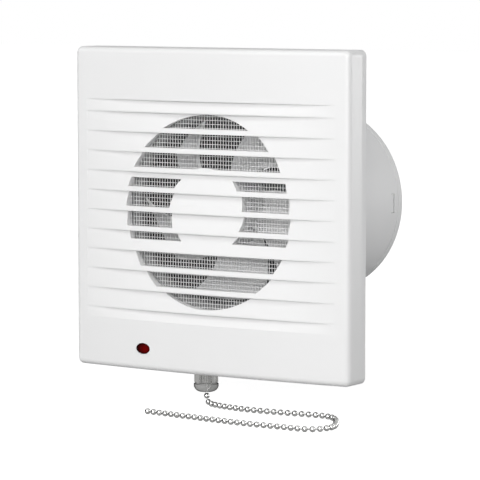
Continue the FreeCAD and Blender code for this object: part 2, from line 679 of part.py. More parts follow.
def insect_net():
    """A flat net: one round face with square gaps, made solid."""
    radius = value("net_rim_radius")
    pitch = value("net_pitch")
    gap = pitch - value("net_thread")
    limit = radius - value("net_margin")
    count = int(limit / pitch) + 1
    rim = Part.Wire(Part.makeCircle(radius, Vector(), Vector(0, 1, 0)))
    wires = []
    for i in range(-count, count):
        for j in range(-count, count):
            low = Vector((i + 0.5) * pitch - gap / 2, 0, (j + 0.5) * pitch - gap / 2)
            corners = [low, low + Vector(gap, 0, 0), low + Vector(gap, 0, gap), low + Vector(0, 0, gap)]
            if max(corner.Length for corner in corners) < limit:
                wires.append(Part.makePolygon(corners + [low]))
    print("gaps in the net", len(wires), "of at most", NET_LIMIT)
    sheet_face = Part.Face([rim] + wires, "Part::FaceMakerBullseye")
    net = shaped("insect_net", sheet_face.extrude(Vector(0, value("net_thickness"), 0)))
    return node(put(net, y="-net_plane_depth"), "insect_net")


def net_ring():
    """The ring behind the net, with a step round it that reaches back to the cover."""
    start = "-(net_plane_depth - net_thickness)"
    outer = "net_rim_radius + net_ring_step"
    flat = ring("net_ring_flat", outer, f"{outer} - net_ring_width", start, "net_ring_thickness")
    collar = ring("net_ring_collar", outer, "net_rim_radius + rim_gap / 2",
                  "-cavity_depth", "cavity_depth - net_plane_depth + net_thickness + press_gap")
    return node(fuse("net_ring", flat, collar), "net_ring")


# The indicator lens and its lamp

def indicator():
    reach = f"({FRONT_MIDDLE} - front_bulge * 4 * lens_across * lens_across / (plate_width * plate_width))"
    body = oval("lens_body", "0", f"-({reach} + lens_proud)",
                f"{reach} + lens_proud - cavity_depth + press_gap")
    doc.recompute()
    front = -value(f"{reach} + lens_proud")
    domed = rounded(
        "lens_domed", body, "lens_proud * 2",
        lambda edge: abs(middle(edge).y - front) < value("press_gap"),
    )
    flange = oval("lens_rear", "lens_flange", "-cavity_depth", "lens_flange_thickness")
    node(fuse("indicator_lens", domed, flange), "indicator_lens")

    lamp = cylinder("indicator_lamp", "lamp_radius", "lamp_length",
                    "-lens_across - lamp_length / 2", "-lamp_depth", LENS_Z, "X")
    node(lamp, "indicator_lamp")

    wall = "(lamp_radius + holder_wall)"
    block = box(
        "lamp_holder_block",
        ("-lens_across - holder_half_length", "-lens_across + holder_half_length"),
        ("-lamp_depth - lamp_radius / 4", "-floor_thickness"),
        (f"{LENS_Z} - {wall}", f"{LENS_Z} + {wall}"),
    )
    seat = cylinder("lamp_seat", "lamp_radius + press_gap", "2 * holder_half_length + 2 * overrun",
                    "-lens_across - holder_half_length - overrun", "-lamp_depth", LENS_Z, "X")
    foot = box(
        "lamp_holder_foot",
        ("-lens_across - holder_half_length", "-lens_across + holder_half_length"),
        ("-floor_thickness - holder_wall", "-floor_thickness"),
        (f"{LENS_Z} - holder_half_width - holder_wall", f"{LENS_Z} + holder_half_width + holder_wall"),
    )
    node(cut("lamp_holder", fuse("lamp_holder_body", block, foot), seat), "lamp_holder")


# The housing: base plate, locating rim and spigot in one moulding

def housing():
    plate = box("plate_block", (f"-{HALF}", HALF), ("-flange_depth", "0"), (f"-{HALF}", HALF))
    corners = rounded("plate_corners", plate, "corner_radius",
                      lambda edge: runs_along(edge, Vector(0, 1, 0)))
    inner = f"({HALF} - cover_wall)"
    recess = box("plate_recess", (f"-{inner}", inner), ("-flange_depth - overrun", "-floor_thickness"),
                 (f"-{inner}", inner))
    recess_corners = rounded("plate_recess_corners", recess, INNER_CORNER,
                             lambda edge: runs_along(edge, Vector(0, 1, 0)))
    tray = cut("plate_tray", corners, recess_corners)

    rim_outer = f"({HALF} - cover_wall - rim_gap)"
    rim_inner = f"({rim_outer} - rim_wall)"
    rim_block = box("rim_block", (f"-{rim_outer}", rim_outer), ("-rim_depth", "-floor_thickness"),
                    (f"-{rim_outer}", rim_outer))
    rim_round = rounded("rim_round", rim_block, INNER_CORNER,
                        lambda edge: runs_along(edge, Vector(0, 1, 0)))
    rim_hollow = box("rim_hollow", (f"-{rim_inner}", rim_inner), ("-rim_depth - overrun", "0"),
                     (f"-{rim_inner}", rim_inner))
    rim_hollow_round = rounded("rim_hollow_round", rim_hollow, f"{INNER_CORNER} / 2",
                               lambda edge: runs_along(edge, Vector(0, 1, 0)))
    rim = cut("locating_rim", rim_round, rim_hollow_round)

    spigot = turned("spigot", [
        ("spigot_bore", "spigot_length"),
        ("spigot_bore", "-inlet_depth + inlet_flare"),
        ("spigot_bore + inlet_flare", "-inlet_depth"),
        ("inlet_radius", "-inlet_depth"),
        ("inlet_radius", "-floor_thickness / 2"),
        ("spigot_radius", "-floor_thickness / 2"),
        ("spigot_radius", "spigot_length - band_length"),
        ("spigot_radius + band_lip", "spigot_length - band_length"),
        ("spigot_radius + band_lip", "spigot_length"),
    ])
    post_seat = "-floor_thickness - clamp_height"
    clamp_posts = [
        cylinder(f"clamp_post_{i}", "clamp_post_radius", "clamp_height", clamp_screw_place(i), post_seat,
                 CLAMP_Z)
        for i in range(2)
    ]
    solid = fuse("housing_solid", tray, rim, spigot, *clamp_posts)

    bore = cylinder("plate_bore", "spigot_bore", "flange_depth + 2 * overrun", "0", "-flange_depth - overrun")
    through = "floor_thickness + 2 * overrun"
    holes = [
        cylinder(f"wall_hole_{i}", "wall_screw_hole", through, f"{x}{SCREW_PLACE}",
                 "-floor_thickness - overrun", f"{z}{SCREW_PLACE}")
        for i, (x, z) in enumerate((("", ""), ("-", ""), ("-", "-"), ("", "-")))
    ]
    cable = cylinder("cable_hole_tool", "cable_hole", through, CABLE_X,
                     "-floor_thickness - overrun", CABLE_Z)
    screw_holes = [
        cylinder(f"clamp_hole_{i}", "small_screw_radius + press_gap",
                 "small_screw_grip - clamp_thickness + overrun",
                 clamp_screw_place(i), "-floor_thickness - clamp_height - overrun / 2", CLAMP_Z)
        for i in range(2)
    ]
    middle_hole = cylinder("block_hole", "small_screw_radius + press_gap", "floor_thickness + 2 * overrun",
                           TERMINAL_MIDDLE, "-floor_thickness - overrun", TERMINAL_CENTRE)
    windows = [
        box("window_across", (f"-{WINDOW_REACH}", WINDOW_REACH),
            ("window_start", "window_start + window_length"), ("-window_width / 2", "window_width / 2")),
        box("window_upright", ("-window_width / 2", "window_width / 2"),
            ("window_start", "window_start + window_length"), (f"-{WINDOW_REACH}", WINDOW_REACH)),
    ]
    snaps = snap_ridges("snap_play", "(snap_proud + rim_wall)", f"({HALF} - cover_wall)")
    notch = box("neck_notch", ("-switch_across - notch_half_width", "-switch_across + notch_half_width"),
                ("-rim_depth - overrun", "-floor_thickness"),
                (f"-{rim_outer} - rim_gap", f"-{rim_inner} + rim_gap"))
    tools = [bore, cable, middle_hole, *holes, *screw_holes, *windows, *snaps, notch]
    return node(cut("housing", solid, *tools), "housing")


# The cable entry and the terminal block

TERMINAL_LEFT = f"({HALF} - terminal_side - 2 * terminal_pitch)"
TERMINAL_TOP = f"(-{HALF} + terminal_up + terminal_height)"
TERMINAL_RIGHT = f"({TERMINAL_LEFT} + 2 * terminal_pitch)"
TERMINAL_MIDDLE = f"({TERMINAL_LEFT} + terminal_pitch)"
TERMINAL_CENTRE = f"({TERMINAL_TOP} - terminal_height / 2)"
TERMINAL_FRONT = "(-floor_thickness - terminal_depth)"


def clamp_screw_place(index):
    side = "-" if index == 0 else "+"
    return f"({CABLE_X} {side} (clamp_length / 2 - clamp_width / 2))"


def cable_grommet():
    lip = "cable_hole + grommet_lip"
    body = turned("cable_grommet", [
        ("cable_bore", "0"),
        ("cable_bore", "-floor_thickness - grommet_lip_thickness"),
        (lip, "-floor_thickness - grommet_lip_thickness"),
        (lip, "-floor_thickness - press_gap"),
        ("cable_hole - press_gap", "-floor_thickness - press_gap"),
        ("cable_hole - press_gap", "0"),
    ], x=CABLE_X, z=CABLE_Z)
    return node(body, "cable_grommet")


def cable_clamp():
    seat = "(-floor_thickness - clamp_height)"
    bar = box(
        "clamp_bar",
        (f"{CABLE_X} - clamp_length / 2", f"{CABLE_X} + clamp_length / 2"),
        (f"{seat} - clamp_thickness", seat),
        (f"{CLAMP_Z} - clamp_width / 2", f"{CLAMP_Z} + clamp_width / 2"),
    )
    bar_round = rounded("clamp_round", bar, "clamp_width / 2 - wire_gap",
                        lambda edge: runs_along(edge, Vector(0, 1, 0)))
    holes = [
        cylinder(f"clamp_bar_hole_{i}", "small_screw_radius + screw_play", "clamp_thickness + 2 * overrun",
                 clamp_screw_place(i), f"{seat} - clamp_thickness - overrun", CLAMP_Z)
        for i in range(2)
    ]
    groove_tool = cylinder("clamp_groove", "cable_bore", "clamp_width + 2 * overrun",
                           CABLE_X, f"{seat} + cable_bore - clamp_thickness / 3",
                           f"{CLAMP_Z} - clamp_width / 2 - overrun", "Z")
    node(cut("cable_clamp", bar_round, groove_tool, *holes), "cable_clamp")
    screws = [
        screw(f"clamp_screw_{i}", clamp_screw_place(i), f"({seat} - clamp_thickness)", CLAMP_Z,
              "small_screw_grip")
        for i in range(2)
    ]
    node(group("clamp_screws", *screws), "clamp_screws")


def terminal_pole(index):
    return f"({TERMINAL_LEFT} + {index} * terminal_pitch + terminal_pitch / 2)"


def terminal_block():
    """A two-pole block with a brass tube and two screws in each pole."""
    block = box("terminal_body", (TERMINAL_LEFT, TERMINAL_RIGHT), (TERMINAL_FRONT, "-floor_thickness"),
                (f"{TERMINAL_TOP} - terminal_height", TERMINAL_TOP))
    waists = [
        box(f"terminal_waist_{i}",
            (f"{TERMINAL_MIDDLE} - terminal_waist / 2", f"{TERMINAL_MIDDLE} + terminal_waist / 2"),
            (f"{TERMINAL_FRONT} - overrun", f"{TERMINAL_FRONT} + terminal_depth / 2"), span)
        for i, span in enumerate((
            (f"{TERMINAL_TOP} - terminal_height / 4", f"{TERMINAL_TOP} + overrun"),
            (f"{TERMINAL_TOP} - terminal_height - overrun", f"{TERMINAL_TOP} - 3 * terminal_height / 4"),
        ))
    ]
    tube_depth = "(-floor_thickness - terminal_depth / 2)"
    outer = "(terminal_bore + terminal_tube_wall)"
    base_hole = cylinder("terminal_base_hole", "small_screw_radius + screw_play",
                         "terminal_depth + 2 * overrun",
                         TERMINAL_MIDDLE, f"{TERMINAL_FRONT} - overrun", TERMINAL_CENTRE)
    base_well = cylinder("terminal_base_well", "small_head_radius + screw_play",
                         "terminal_depth / 2 + overrun",
                         TERMINAL_MIDDLE, f"{TERMINAL_FRONT} - overrun", TERMINAL_CENTRE)
    tools = [*waists, base_hole, base_well]
    tubes = []
    screws = []
    for pole in range(2):
        place = terminal_pole(pole)
        tools.append(cylinder(f"terminal_way_{pole}", f"{outer} + press_gap",
                              "terminal_height + 2 * overrun", place,
                              tube_depth, f"{TERMINAL_TOP} - terminal_height - overrun", "Z"))
        tube = cylinder(f"terminal_tube_{pole}", outer, "terminal_height - 2 * terminal_tube_wall", place,
                        tube_depth, f"{TERMINAL_TOP} - terminal_height + terminal_tube_wall", "Z")
        tube_bore = cylinder(f"terminal_tube_bore_{pole}", "terminal_bore", "terminal_height + 2 * overrun",
                             place,
                             tube_depth, f"{TERMINAL_TOP} - terminal_height - overrun", "Z")
        tube_tools = [tube_bore]
        for end, level in enumerate(("terminal_height / 4", "3 * terminal_height / 4")):
            height = f"({TERMINAL_TOP} - {level})"
            tools.append(cylinder(f"terminal_well_{pole}_{end}", "terminal_well",
                                  "terminal_depth / 2 + overrun",
                                  place, f"{TERMINAL_FRONT} - overrun", height))
            tube_tools.append(cylinder(f"terminal_thread_{pole}_{end}", "terminal_screw_radius + press_gap",
                                       "terminal_depth / 2 + overrun", place, f"{TERMINAL_FRONT} - overrun",
                                       height))
            shank = cylinder(f"terminal_shank_{pole}_{end}", "terminal_screw_radius",
                             "terminal_depth / 2 - 2 * screw_slot",
                             place, f"{TERMINAL_FRONT} + screw_slot", height)
            slot = box(f"terminal_slot_{pole}_{end}",
                       (f"{place} - terminal_screw_radius - overrun",
                        f"{place} + terminal_screw_radius + overrun"),
                       (TERMINAL_FRONT, f"{TERMINAL_FRONT} + 2 * screw_slot"),
                       (f"{height} - screw_slot / 2", f"{height} + screw_slot / 2"))
            screws.append(cut(f"terminal_screw_{pole}_{end}", shank, slot))
        tubes.append(cut(f"terminal_sleeve_{pole}", tube, *tube_tools))
    node(cut("terminal_block", block, *tools), "terminal_block")
    node(group("terminal_tubes", *tubes), "terminal_tubes")
    node(group("terminal_screws", *screws), "terminal_screws")
    base_screw = screw("terminal_block_screw", TERMINAL_MIDDLE, f"({TERMINAL_FRONT} + terminal_depth / 2)",
                       TERMINAL_CENTRE, "terminal_depth / 2 + floor_thickness - press_gap")
    node(base_screw, "terminal_block_screw")


# The shaded-pole motor

CORE_REAR = "(core_front + core_length)"
LEG_MIDDLE = "(-core_bottom + core_leg / 2)"
FRONT_STRAP = "(core_front - bracket_rise)"
REAR_STRAP = f"({CORE_REAR} + bracket_rise)"
HOLDER_DEPTH = f"({REAR_STRAP} + holder_plate_gap)"


def stator():
    stack = box("core_block", ("-core_half_width", "core_half_width"), ("core_front", CORE_REAR),
                ("-core_bottom", "core_top"))
    run = "core_length + 2 * overrun"
    start = "core_front - overrun"
    bore = cylinder("core_bore", "rotor_bore", run, "0", start)
    window = box("core_window", ("-core_window_half", "core_window_half"), (start, f"{CORE_REAR} + overrun"),
                 ("-core_bottom + core_leg", "-core_window_top"))
    holes = [
        cylinder(f"core_hole_{i}", "bolt_radius + screw_play", run, f"{side}bolt_across", start)
        for i, side in enumerate(("-", ""))
    ]
    notches = [
        cylinder(f"shade_notch_{i}", "shade_radius + press_gap", run, shade_place(angle)[0], start,
                 shade_place(angle)[1])
        for i, angle in enumerate(SHADE_ANGLES)
    ]
    node(cut("stator_core", stack, bore, window, *holes, *notches), "stator_core")


SHADE_ANGLES = (40, 76, 220, 256)


def shade_place(angle):
    return (f"(shade_circle * cos({angle} deg))", f"(shade_circle * sin({angle} deg))")


def shading_rings():
    """A copper ring round part of each pole: two bars through the stack and two across its faces."""
    rings = []
    for number in range(2):
        bars = []
        ends = [shade_place(angle) for angle in SHADE_ANGLES[2 * number:2 * number + 2]]
        length = "core_length + 4 * shade_radius"
        start = "core_front - 2 * shade_radius"
        for i, (x, z) in enumerate(ends):
            bars.append(cylinder(f"shade_bar_{number}_{i}", "shade_radius", length, x, start, z))
        first = Vector(value(ends[0][0]), 0, value(ends[0][1]))
        second = Vector(value(ends[1][0]), 0, value(ends[1][1]))
        for i, depth in enumerate(("core_front - shade_radius", f"{CORE_REAR} + shade_radius")):
            link = doc.addObject("Part::Cylinder", f"shade_link_{number}_{i}")
            bind(link, "Radius", "shade_radius - press_gap")
            bind(link, "Height", "2 * shade_circle * sin(18 deg)")
            put(link, ends[0][0], depth, ends[0][1], Rotation(Vector(0, 0, 1), second - first))
            bars.append(link)
        rings.append(fuse(f"shading_ring_{number}", *bars))
    node(group("shading_rings", *rings), "shading_rings")


def coil():
    """The bobbin round the stator's lower leg, and the taped winding on it."""
    half_depth = "(core_length / 2 + bobbin_gap)"
    half_height = "(core_leg / 2 + bobbin_gap)"
    mid = "(core_front + core_length / 2)"

    def slab(name, half_length, grow):
        return box(name, (f"-({half_length})", half_length),
                   (f"{mid} - {half_depth} - {grow}", f"{mid} + {half_depth} + {grow}"),
                   (f"{LEG_MIDDLE} - {half_height} - {grow}", f"{LEG_MIDDLE} + {half_height} + {grow}"))

    core = slab("bobbin_core", "bobbin_half_length", "bobbin_wall")
    flanges = []
    for i, side in enumerate((-1, 1)):
        near, far = "bobbin_half_length - bobbin_wall", "bobbin_half_length"
        span = (near, far) if side > 0 else (f"-({far})", f"-({near})")
        reach = "bobbin_flange_height"
        flanges.append(box(f"bobbin_flange_{i}", span,
                           (f"{mid} - {half_depth} - {reach}", f"{mid} + {half_depth} + {reach}"),
                           (f"{LEG_MIDDLE} - {half_height} - {reach}",
                            f"{LEG_MIDDLE} + {half_height} + {reach}")))
    hollow = slab("bobbin_hollow", "bobbin_half_length + overrun", "0")
    node(cut("coil_bobbin", fuse("bobbin_solid", core, *flanges), hollow), "coil_bobbin")

    outer = slab("coil_outer", "bobbin_half_length - bobbin_wall", "bobbin_flange_height - coil_inset")
    outer_round = rounded("coil_round", outer, "coil_edge", lambda edge: runs_along(edge, Vector(1, 0, 0)))
    inner = slab("coil_inner", "bobbin_half_length", "bobbin_wall")
    node(cut("stator_coil", outer_round, inner), "stator_coil")


def bracket(name, front):
    """A strap bracket with a boss for its sleeve bearing, before or behind the stator."""
    face, strap, way = ("core_front", FRONT_STRAP, 1) if front else (CORE_REAR, REAR_STRAP, -1)

    def span(start, length):
        return (start, f"{start} + {length}") if way > 0 else (f"{start} - {length}", start)

    half = ("-bracket_width / 2", "bracket_width / 2")
    leg = "(bracket_inner + bracket_sheet)"
    pieces = [box(f"{name}_bridge", (f"-{leg}", leg), span(strap, "bracket_sheet"), half)]
    for i, side in enumerate((-1, 1)):
        legs = ("bracket_inner", leg) if side > 0 else (f"-{leg}", "-bracket_inner")
        feet = ("bracket_inner", "core_half_width") if side > 0 else ("-core_half_width", "-bracket_inner")
        pieces.append(box(f"{name}_leg_{i}", legs, span(strap, "bracket_rise"), half))
        foot_span = (f"{face} - bracket_sheet", face) if way > 0 else (face, f"{face} + bracket_sheet")
        pieces.append(box(f"{name}_foot_{i}", feet, foot_span, half))
    sign = "+" if way > 0 else "-"
    low = f"{strap} - bearing_length / 2 {sign} bracket_sheet / 2"
    pieces.append(cylinder(f"{name}_boss", "bracket_boss_radius", "bearing_length", "0", low))
    bore = cylinder(f"{name}_bore", "bearing_radius + press_gap", "bearing_length + 2 * overrun", "0",
                    f"{low} - overrun")
    hole_start = f"{face} - bracket_sheet - overrun" if way > 0 else f"{face} - overrun"
    holes = [
        cylinder(f"{name}_hole_{i}", "bolt_radius + screw_play", "bracket_sheet + 2 * overrun",
                 f"{side}bolt_across", hole_start)
        for i, side in enumerate(("-", ""))
    ]
    node(cut(name, fuse(f"{name}_solid", *pieces), bore, *holes), name)
    return low


def bearings(front_low, rear_low):
    for name, low in (("front_bearing", front_low), ("rear_bearing", rear_low)):
        node(ring(name, "bearing_radius", "shaft_radius + shaft_fit", low, "bearing_length"), name)
    front_washer = ring("washer_front", "washer_radius", "shaft_radius + shaft_fit",
                        f"{front_low} + bearing_length + press_gap", "washer_thickness")
    rear_washer = ring("washer_rear", "washer_radius", "shaft_radius + shaft_fit",
                       f"{rear_low} - press_gap - washer_thickness", "washer_thickness")
    node(group("thrust_washers", front_washer, rear_washer), "thrust_washers")


def hexagon(name, flats, length, x, y, z, along):
    feature = doc.addObject("Part::Prism", name)
    feature.Polygon = 6
    bind(feature, "Circumradius", f"({flats}) / (2 * cos(30 deg))")
    bind(feature, "Height", length)
    turn = TURN[along]
    if along == "Z":
        turn = Rotation(Vector(0, 0, 1), 0)
    return put(feature, x, y, z, turn)


def motor_fixings():
    """Two long screws that hold the brackets, the stator and the motor holder together."""
    screws = []
    nuts = []
    seat = "(core_front - bracket_sheet)"
    plate_rear = f"({HOLDER_DEPTH} + holder_plate)"
    for i, side in enumerate(("-", "")):
        x = f"{side}bolt_across"
        screws.append(screw(f"motor_screw_{i}", x, seat, "0",
                            f"{plate_rear} + nut_height + bolt_end - {seat}",
                            "bolt_radius", "bolt_head_radius", "bolt_head_height"))
        nut = hexagon(f"motor_nut_{i}", "nut_flats", "nut_height", x, plate_rear, "0", "Y")
        bore = cylinder(f"motor_nut_bore_{i}", "bolt_radius + press_gap", "nut_height + 2 * overrun", x,
                        f"{plate_rear} - overrun")
        nuts.append(cut(f"motor_nut_cut_{i}", nut, bore))
    node(group("motor_screws", *screws), "motor_screws")
    node(group("motor_nuts", *nuts), "motor_nuts")


def rotor():
    outer = "(rotor_bore - air_gap)"
    body = turned("rotor_body", [
        ("shaft_radius + press_gap", "core_front - rotor_ring"),
        (f"{outer} - rotor_ring_step", "core_front - rotor_ring"),
        (f"{outer} - rotor_ring_step", "core_front"),
        (outer, "core_front"),
        (outer, CORE_REAR),
        (f"{outer} - rotor_ring_step", CORE_REAR),
        (f"{outer} - rotor_ring_step", f"{CORE_REAR} + rotor_ring"),
        ("shaft_radius + press_gap", f"{CORE_REAR} + rotor_ring"),
    ])
    node(body, "rotor")
    shaft = turned("shaft_body", [
        ("0", "-shaft_front"),
        ("shaft_radius - shaft_radius / 4", "-shaft_front"),
        ("shaft_radius", "-shaft_front + shaft_radius / 4"),
        ("shaft_radius", "shaft_rear - shaft_radius / 4"),
        ("shaft_radius - shaft_radius / 4", "shaft_rear"),
        ("0", "shaft_rear"),
    ])
    node(shaft, "motor_shaft")


# The impeller

def blade_section(station):
    """One cross-section of a blade: two cambered arcs and two square ends, across a radius."""
    radius_share, chord_share, angle, sweep = station
    tip = value("tip_radius")
    radius = tip * radius_share
    half = tip * chord_share / 2
    thick = value("blade_thickness") / 2
    camber = value("blade_camber")
    tilt = math.radians(angle)
    around = math.radians(sweep)
    outward = Vector(math.cos(around), 0, math.sin(around))
    across = Vector(-math.sin(around), 0, math.cos(around))
    back = Vector(0, 1, 0)
    centre = outward * radius + back * value("blade_middle")
    chord = across * math.cos(tilt) + back * math.sin(tilt)
    normal = across * -math.sin(tilt) + back * math.cos(tilt)
    front_a, front_b = centre - chord * half - normal * thick, centre + chord * half - normal * thick
    rear_a, rear_b = centre - chord * half + normal * thick, centre + chord * half + normal * thick
    front_arc = Part.Arc(front_a, centre + normal * (camber - thick), front_b).toShape()
    rear_arc = Part.Arc(rear_b, centre + normal * (camber + thick), rear_a).toShape()
    ends = Part.makeLine(front_b, rear_b), Part.makeLine(rear_a, front_a)
    return Part.Wire([front_arc, ends[0], rear_arc, ends[1]])


def impeller():
    hub = turned("hub", [
        ("shaft_radius + press_gap", "-hub_front"),
        ("hub_radius - hub_edge", "-hub_front"),
        ("hub_radius", "-hub_front + hub_edge"),
        ("hub_radius", "-hub_front + hub_length"),
        ("hub_radius - hub_wall", "-hub_front + hub_length"),
        ("hub_radius - hub_wall", "-hub_front + hub_face"),
        ("boss_radius", "-hub_front + hub_face"),
        ("boss_radius", "-hub_front + boss_length"),
        ("shaft_radius + press_gap", "-hub_front + boss_length"),
    ])
    loft = Part.makeLoft([blade_section(station) for station in BLADE_STATION_SHARES], True, False)
    blades = []
    for i in range(BLADE_COUNT):
        blade = shaped(f"blade_{i}", loft)
        angle = 360.0 * i / BLADE_COUNT
        blade.Placement = Placement(Vector(), Rotation(Vector(0, 1, 0), angle))
        blades.append(blade)
    swept = ring("blade_room", "tip_radius", "hub_radius - hub_wall / 2", "-hub_front", "hub_length")
    trimmed = common("blades_trimmed", group("blades", *blades), swept)
    node(fuse("impeller", hub, trimmed), "impeller")
    clip = ring("impeller_clip", "clip_radius", "shaft_radius + press_gap",
                "-hub_front - clip_thickness", "clip_thickness")
    node(clip, "impeller_clip")


# The motor holder that snaps into the spigot

def motor_holder():
    outer = "(spigot_bore - holder_ring_gap)"
    inner = f"({outer} - holder_ring_wall)"
    band = ring("holder_band", outer, inner, "holder_ring_start", "holder_ring_length")
    plate = cylinder("holder_disc", "holder_plate_radius", "holder_plate", "0", HOLDER_DEPTH)
    posts = [
        cylinder(f"holder_post_{i}", "post_radius",
                 f"{HOLDER_DEPTH} - {CORE_REAR} - bracket_sheet + press_gap",
                 f"{side}bolt_across", f"{CORE_REAR} + bracket_sheet")
        for i, side in enumerate(("-", ""))
    ]
    arms = []
    root = "holder_plate_radius - arm_height / 2"
    tip = f"{inner} + holder_ring_wall / 2"
    for i in range(4):
        arm = prism(f"holder_arm_{i}", [
            (root, HOLDER_DEPTH),
            ("holder_plate_radius", HOLDER_DEPTH),
            (tip, "holder_ring_start"),
            (tip, "holder_ring_start + arm_height"),
            (f"{inner} - arm_height / 2", "holder_ring_start + arm_height"),
            (root, f"{HOLDER_DEPTH} + holder_plate"),
        ], "XY_Plane", "-arm_thickness / 2", "arm_thickness")
        arm.Placement = Placement(Vector(), Rotation(Vector(0, 1, 0), 45.0 + 90.0 * i))
        arms.append(arm)
    hook_depth = ("window_start + hook_play", "window_start + window_length - hook_play")
    hook_half = "(window_width / 2 - hook_play)"
    reach = f"({outer} + hook_proud)"
    root_reach = f"({outer} - holder_ring_wall / 2)"
    hooks = [
        box("hook_right", (root_reach, reach), hook_depth, (f"-{hook_half}", hook_half)),
        box("hook_left", (f"-{reach}", f"-{root_reach}"), hook_depth, (f"-{hook_half}", hook_half)),
        box("hook_top", (f"-{hook_half}", hook_half), hook_depth, (root_reach, reach)),
        box("hook_bottom", (f"-{hook_half}", hook_half), hook_depth, (f"-{reach}", f"-{root_reach}")),
    ]
    solid = fuse("holder_solid", band, plate, *posts, *arms, *hooks)
    centre_hole = cylinder("holder_centre_hole", "holder_hole", "holder_plate + 2 * overrun", "0",
                           f"{HOLDER_DEPTH} - overrun")
    screw_holes = [
        cylinder(f"holder_screw_hole_{i}", "bolt_radius + screw_play",
                 f"{HOLDER_DEPTH} + holder_plate - {CORE_REAR} + overrun", f"{side}bolt_across", CORE_REAR)
        for i, side in enumerate(("-", ""))
    ]
    node(cut("motor_holder", solid, centre_hole, *screw_holes), "motor_holder")


# The pull switch

SWITCH_X = "(-switch_across)"
SWITCH_Y = "(-switch_depth)"
SWITCH_BASE = f"({SKIRT_TOP} + lock_nut_height + neck_flange_height)"
SWITCH_TOP = f"({SWITCH_BASE} + switch_height)"
BOX_FRONT = "(-switch_depth - switch_half_depth)"
BOX_REAR = "(-switch_depth + switch_half_depth)"
BOX_LEFT = "(-switch_across - switch_half_width)"
BOX_RIGHT = "(-switch_across + switch_half_width)"
WHEEL_X = "(-switch_across + wheel_across)"
WHEEL_Z = f"({SWITCH_TOP} - wheel_down)"
FEED_Z = f"({SWITCH_BASE} + feed_tab_up)"
LOAD_Z = f"({SWITCH_BASE} + load_tab_up)"
ROD_LOW = f"({SWITCH_BASE} - rod_end)"
ROD_HIGH = f"({SWITCH_TOP} - rod_down)"
COLLAR_TOP = f"({SWITCH_BASE} + rod_head_up)"
COLLAR_LOW = f"({COLLAR_TOP} - rod_head_height)"


def contact_slot(name, height):
    half_width = "(contact_width / 2 + contact_slot_play)"
    return box(name, (f"{BOX_RIGHT} - switch_wall - overrun", f"{BOX_RIGHT} + overrun"),
               (f"{SWITCH_Y} - {half_width}", f"{SWITCH_Y} + {half_width}"),
               (f"{height} - contact_slot_play", f"{height} + contact_sheet + contact_slot_play"))


def switch_box():
    block = box("switch_block", (BOX_LEFT, BOX_RIGHT), (BOX_FRONT, f"{BOX_REAR} - switch_wall"),
                (SWITCH_BASE, SWITCH_TOP))
    hollow = box("switch_hollow", (f"{BOX_LEFT} + switch_wall", f"{BOX_RIGHT} - switch_wall"),
                 (f"{BOX_FRONT} + switch_wall", f"{BOX_REAR} + overrun"),
                 (f"{SWITCH_BASE} + switch_wall", f"{SWITCH_TOP} - switch_wall"))
    hole = cylinder("switch_neck_hole", "neck_plug_radius + press_gap", "switch_wall + 2 * overrun",
                    SWITCH_X, SWITCH_Y, f"{SWITCH_BASE} - overrun", "Z")
    slots = [contact_slot("feed_slot", FEED_Z), contact_slot("load_slot", LOAD_Z)]
    node(cut("switch_body", block, hollow, hole, *slots), "switch_body")
    lid = box("switch_lid", (BOX_LEFT, BOX_RIGHT), (f"{BOX_REAR} - switch_wall", BOX_REAR),
              (SWITCH_BASE, SWITCH_TOP))
    node(lid, "switch_cover")


def switch_neck():
    flange_top = SWITCH_BASE
    flange_low = f"{SWITCH_BASE} - neck_flange_height"
    body = turned("neck_body", [
        ("rod_radius + rod_fit", f"-{HALF} - neck_below"),
        ("neck_radius", f"-{HALF} - neck_below"),
        ("neck_radius", flange_low),
        ("neck_flange_radius", flange_low),
        ("neck_flange_radius", flange_top),
        ("neck_plug_radius", flange_top),
        ("neck_plug_radius", f"{SWITCH_BASE} + switch_wall"),
        ("rod_radius + rod_fit", f"{SWITCH_BASE} + switch_wall"),
    ], "Z", SWITCH_X, SWITCH_Y)
    node(body, "switch_neck")

    nut = hexagon("lock_nut_hex", "lock_nut_flats", "lock_nut_height", SWITCH_X, SWITCH_Y, SKIRT_TOP, "Z")
    bore = cylinder("lock_nut_bore", "neck_radius + thread_gap", "lock_nut_height + 2 * overrun",
                    SWITCH_X, SWITCH_Y, f"{SKIRT_TOP} - overrun", "Z")
    node(cut("lock_nut", nut, bore), "lock_nut")


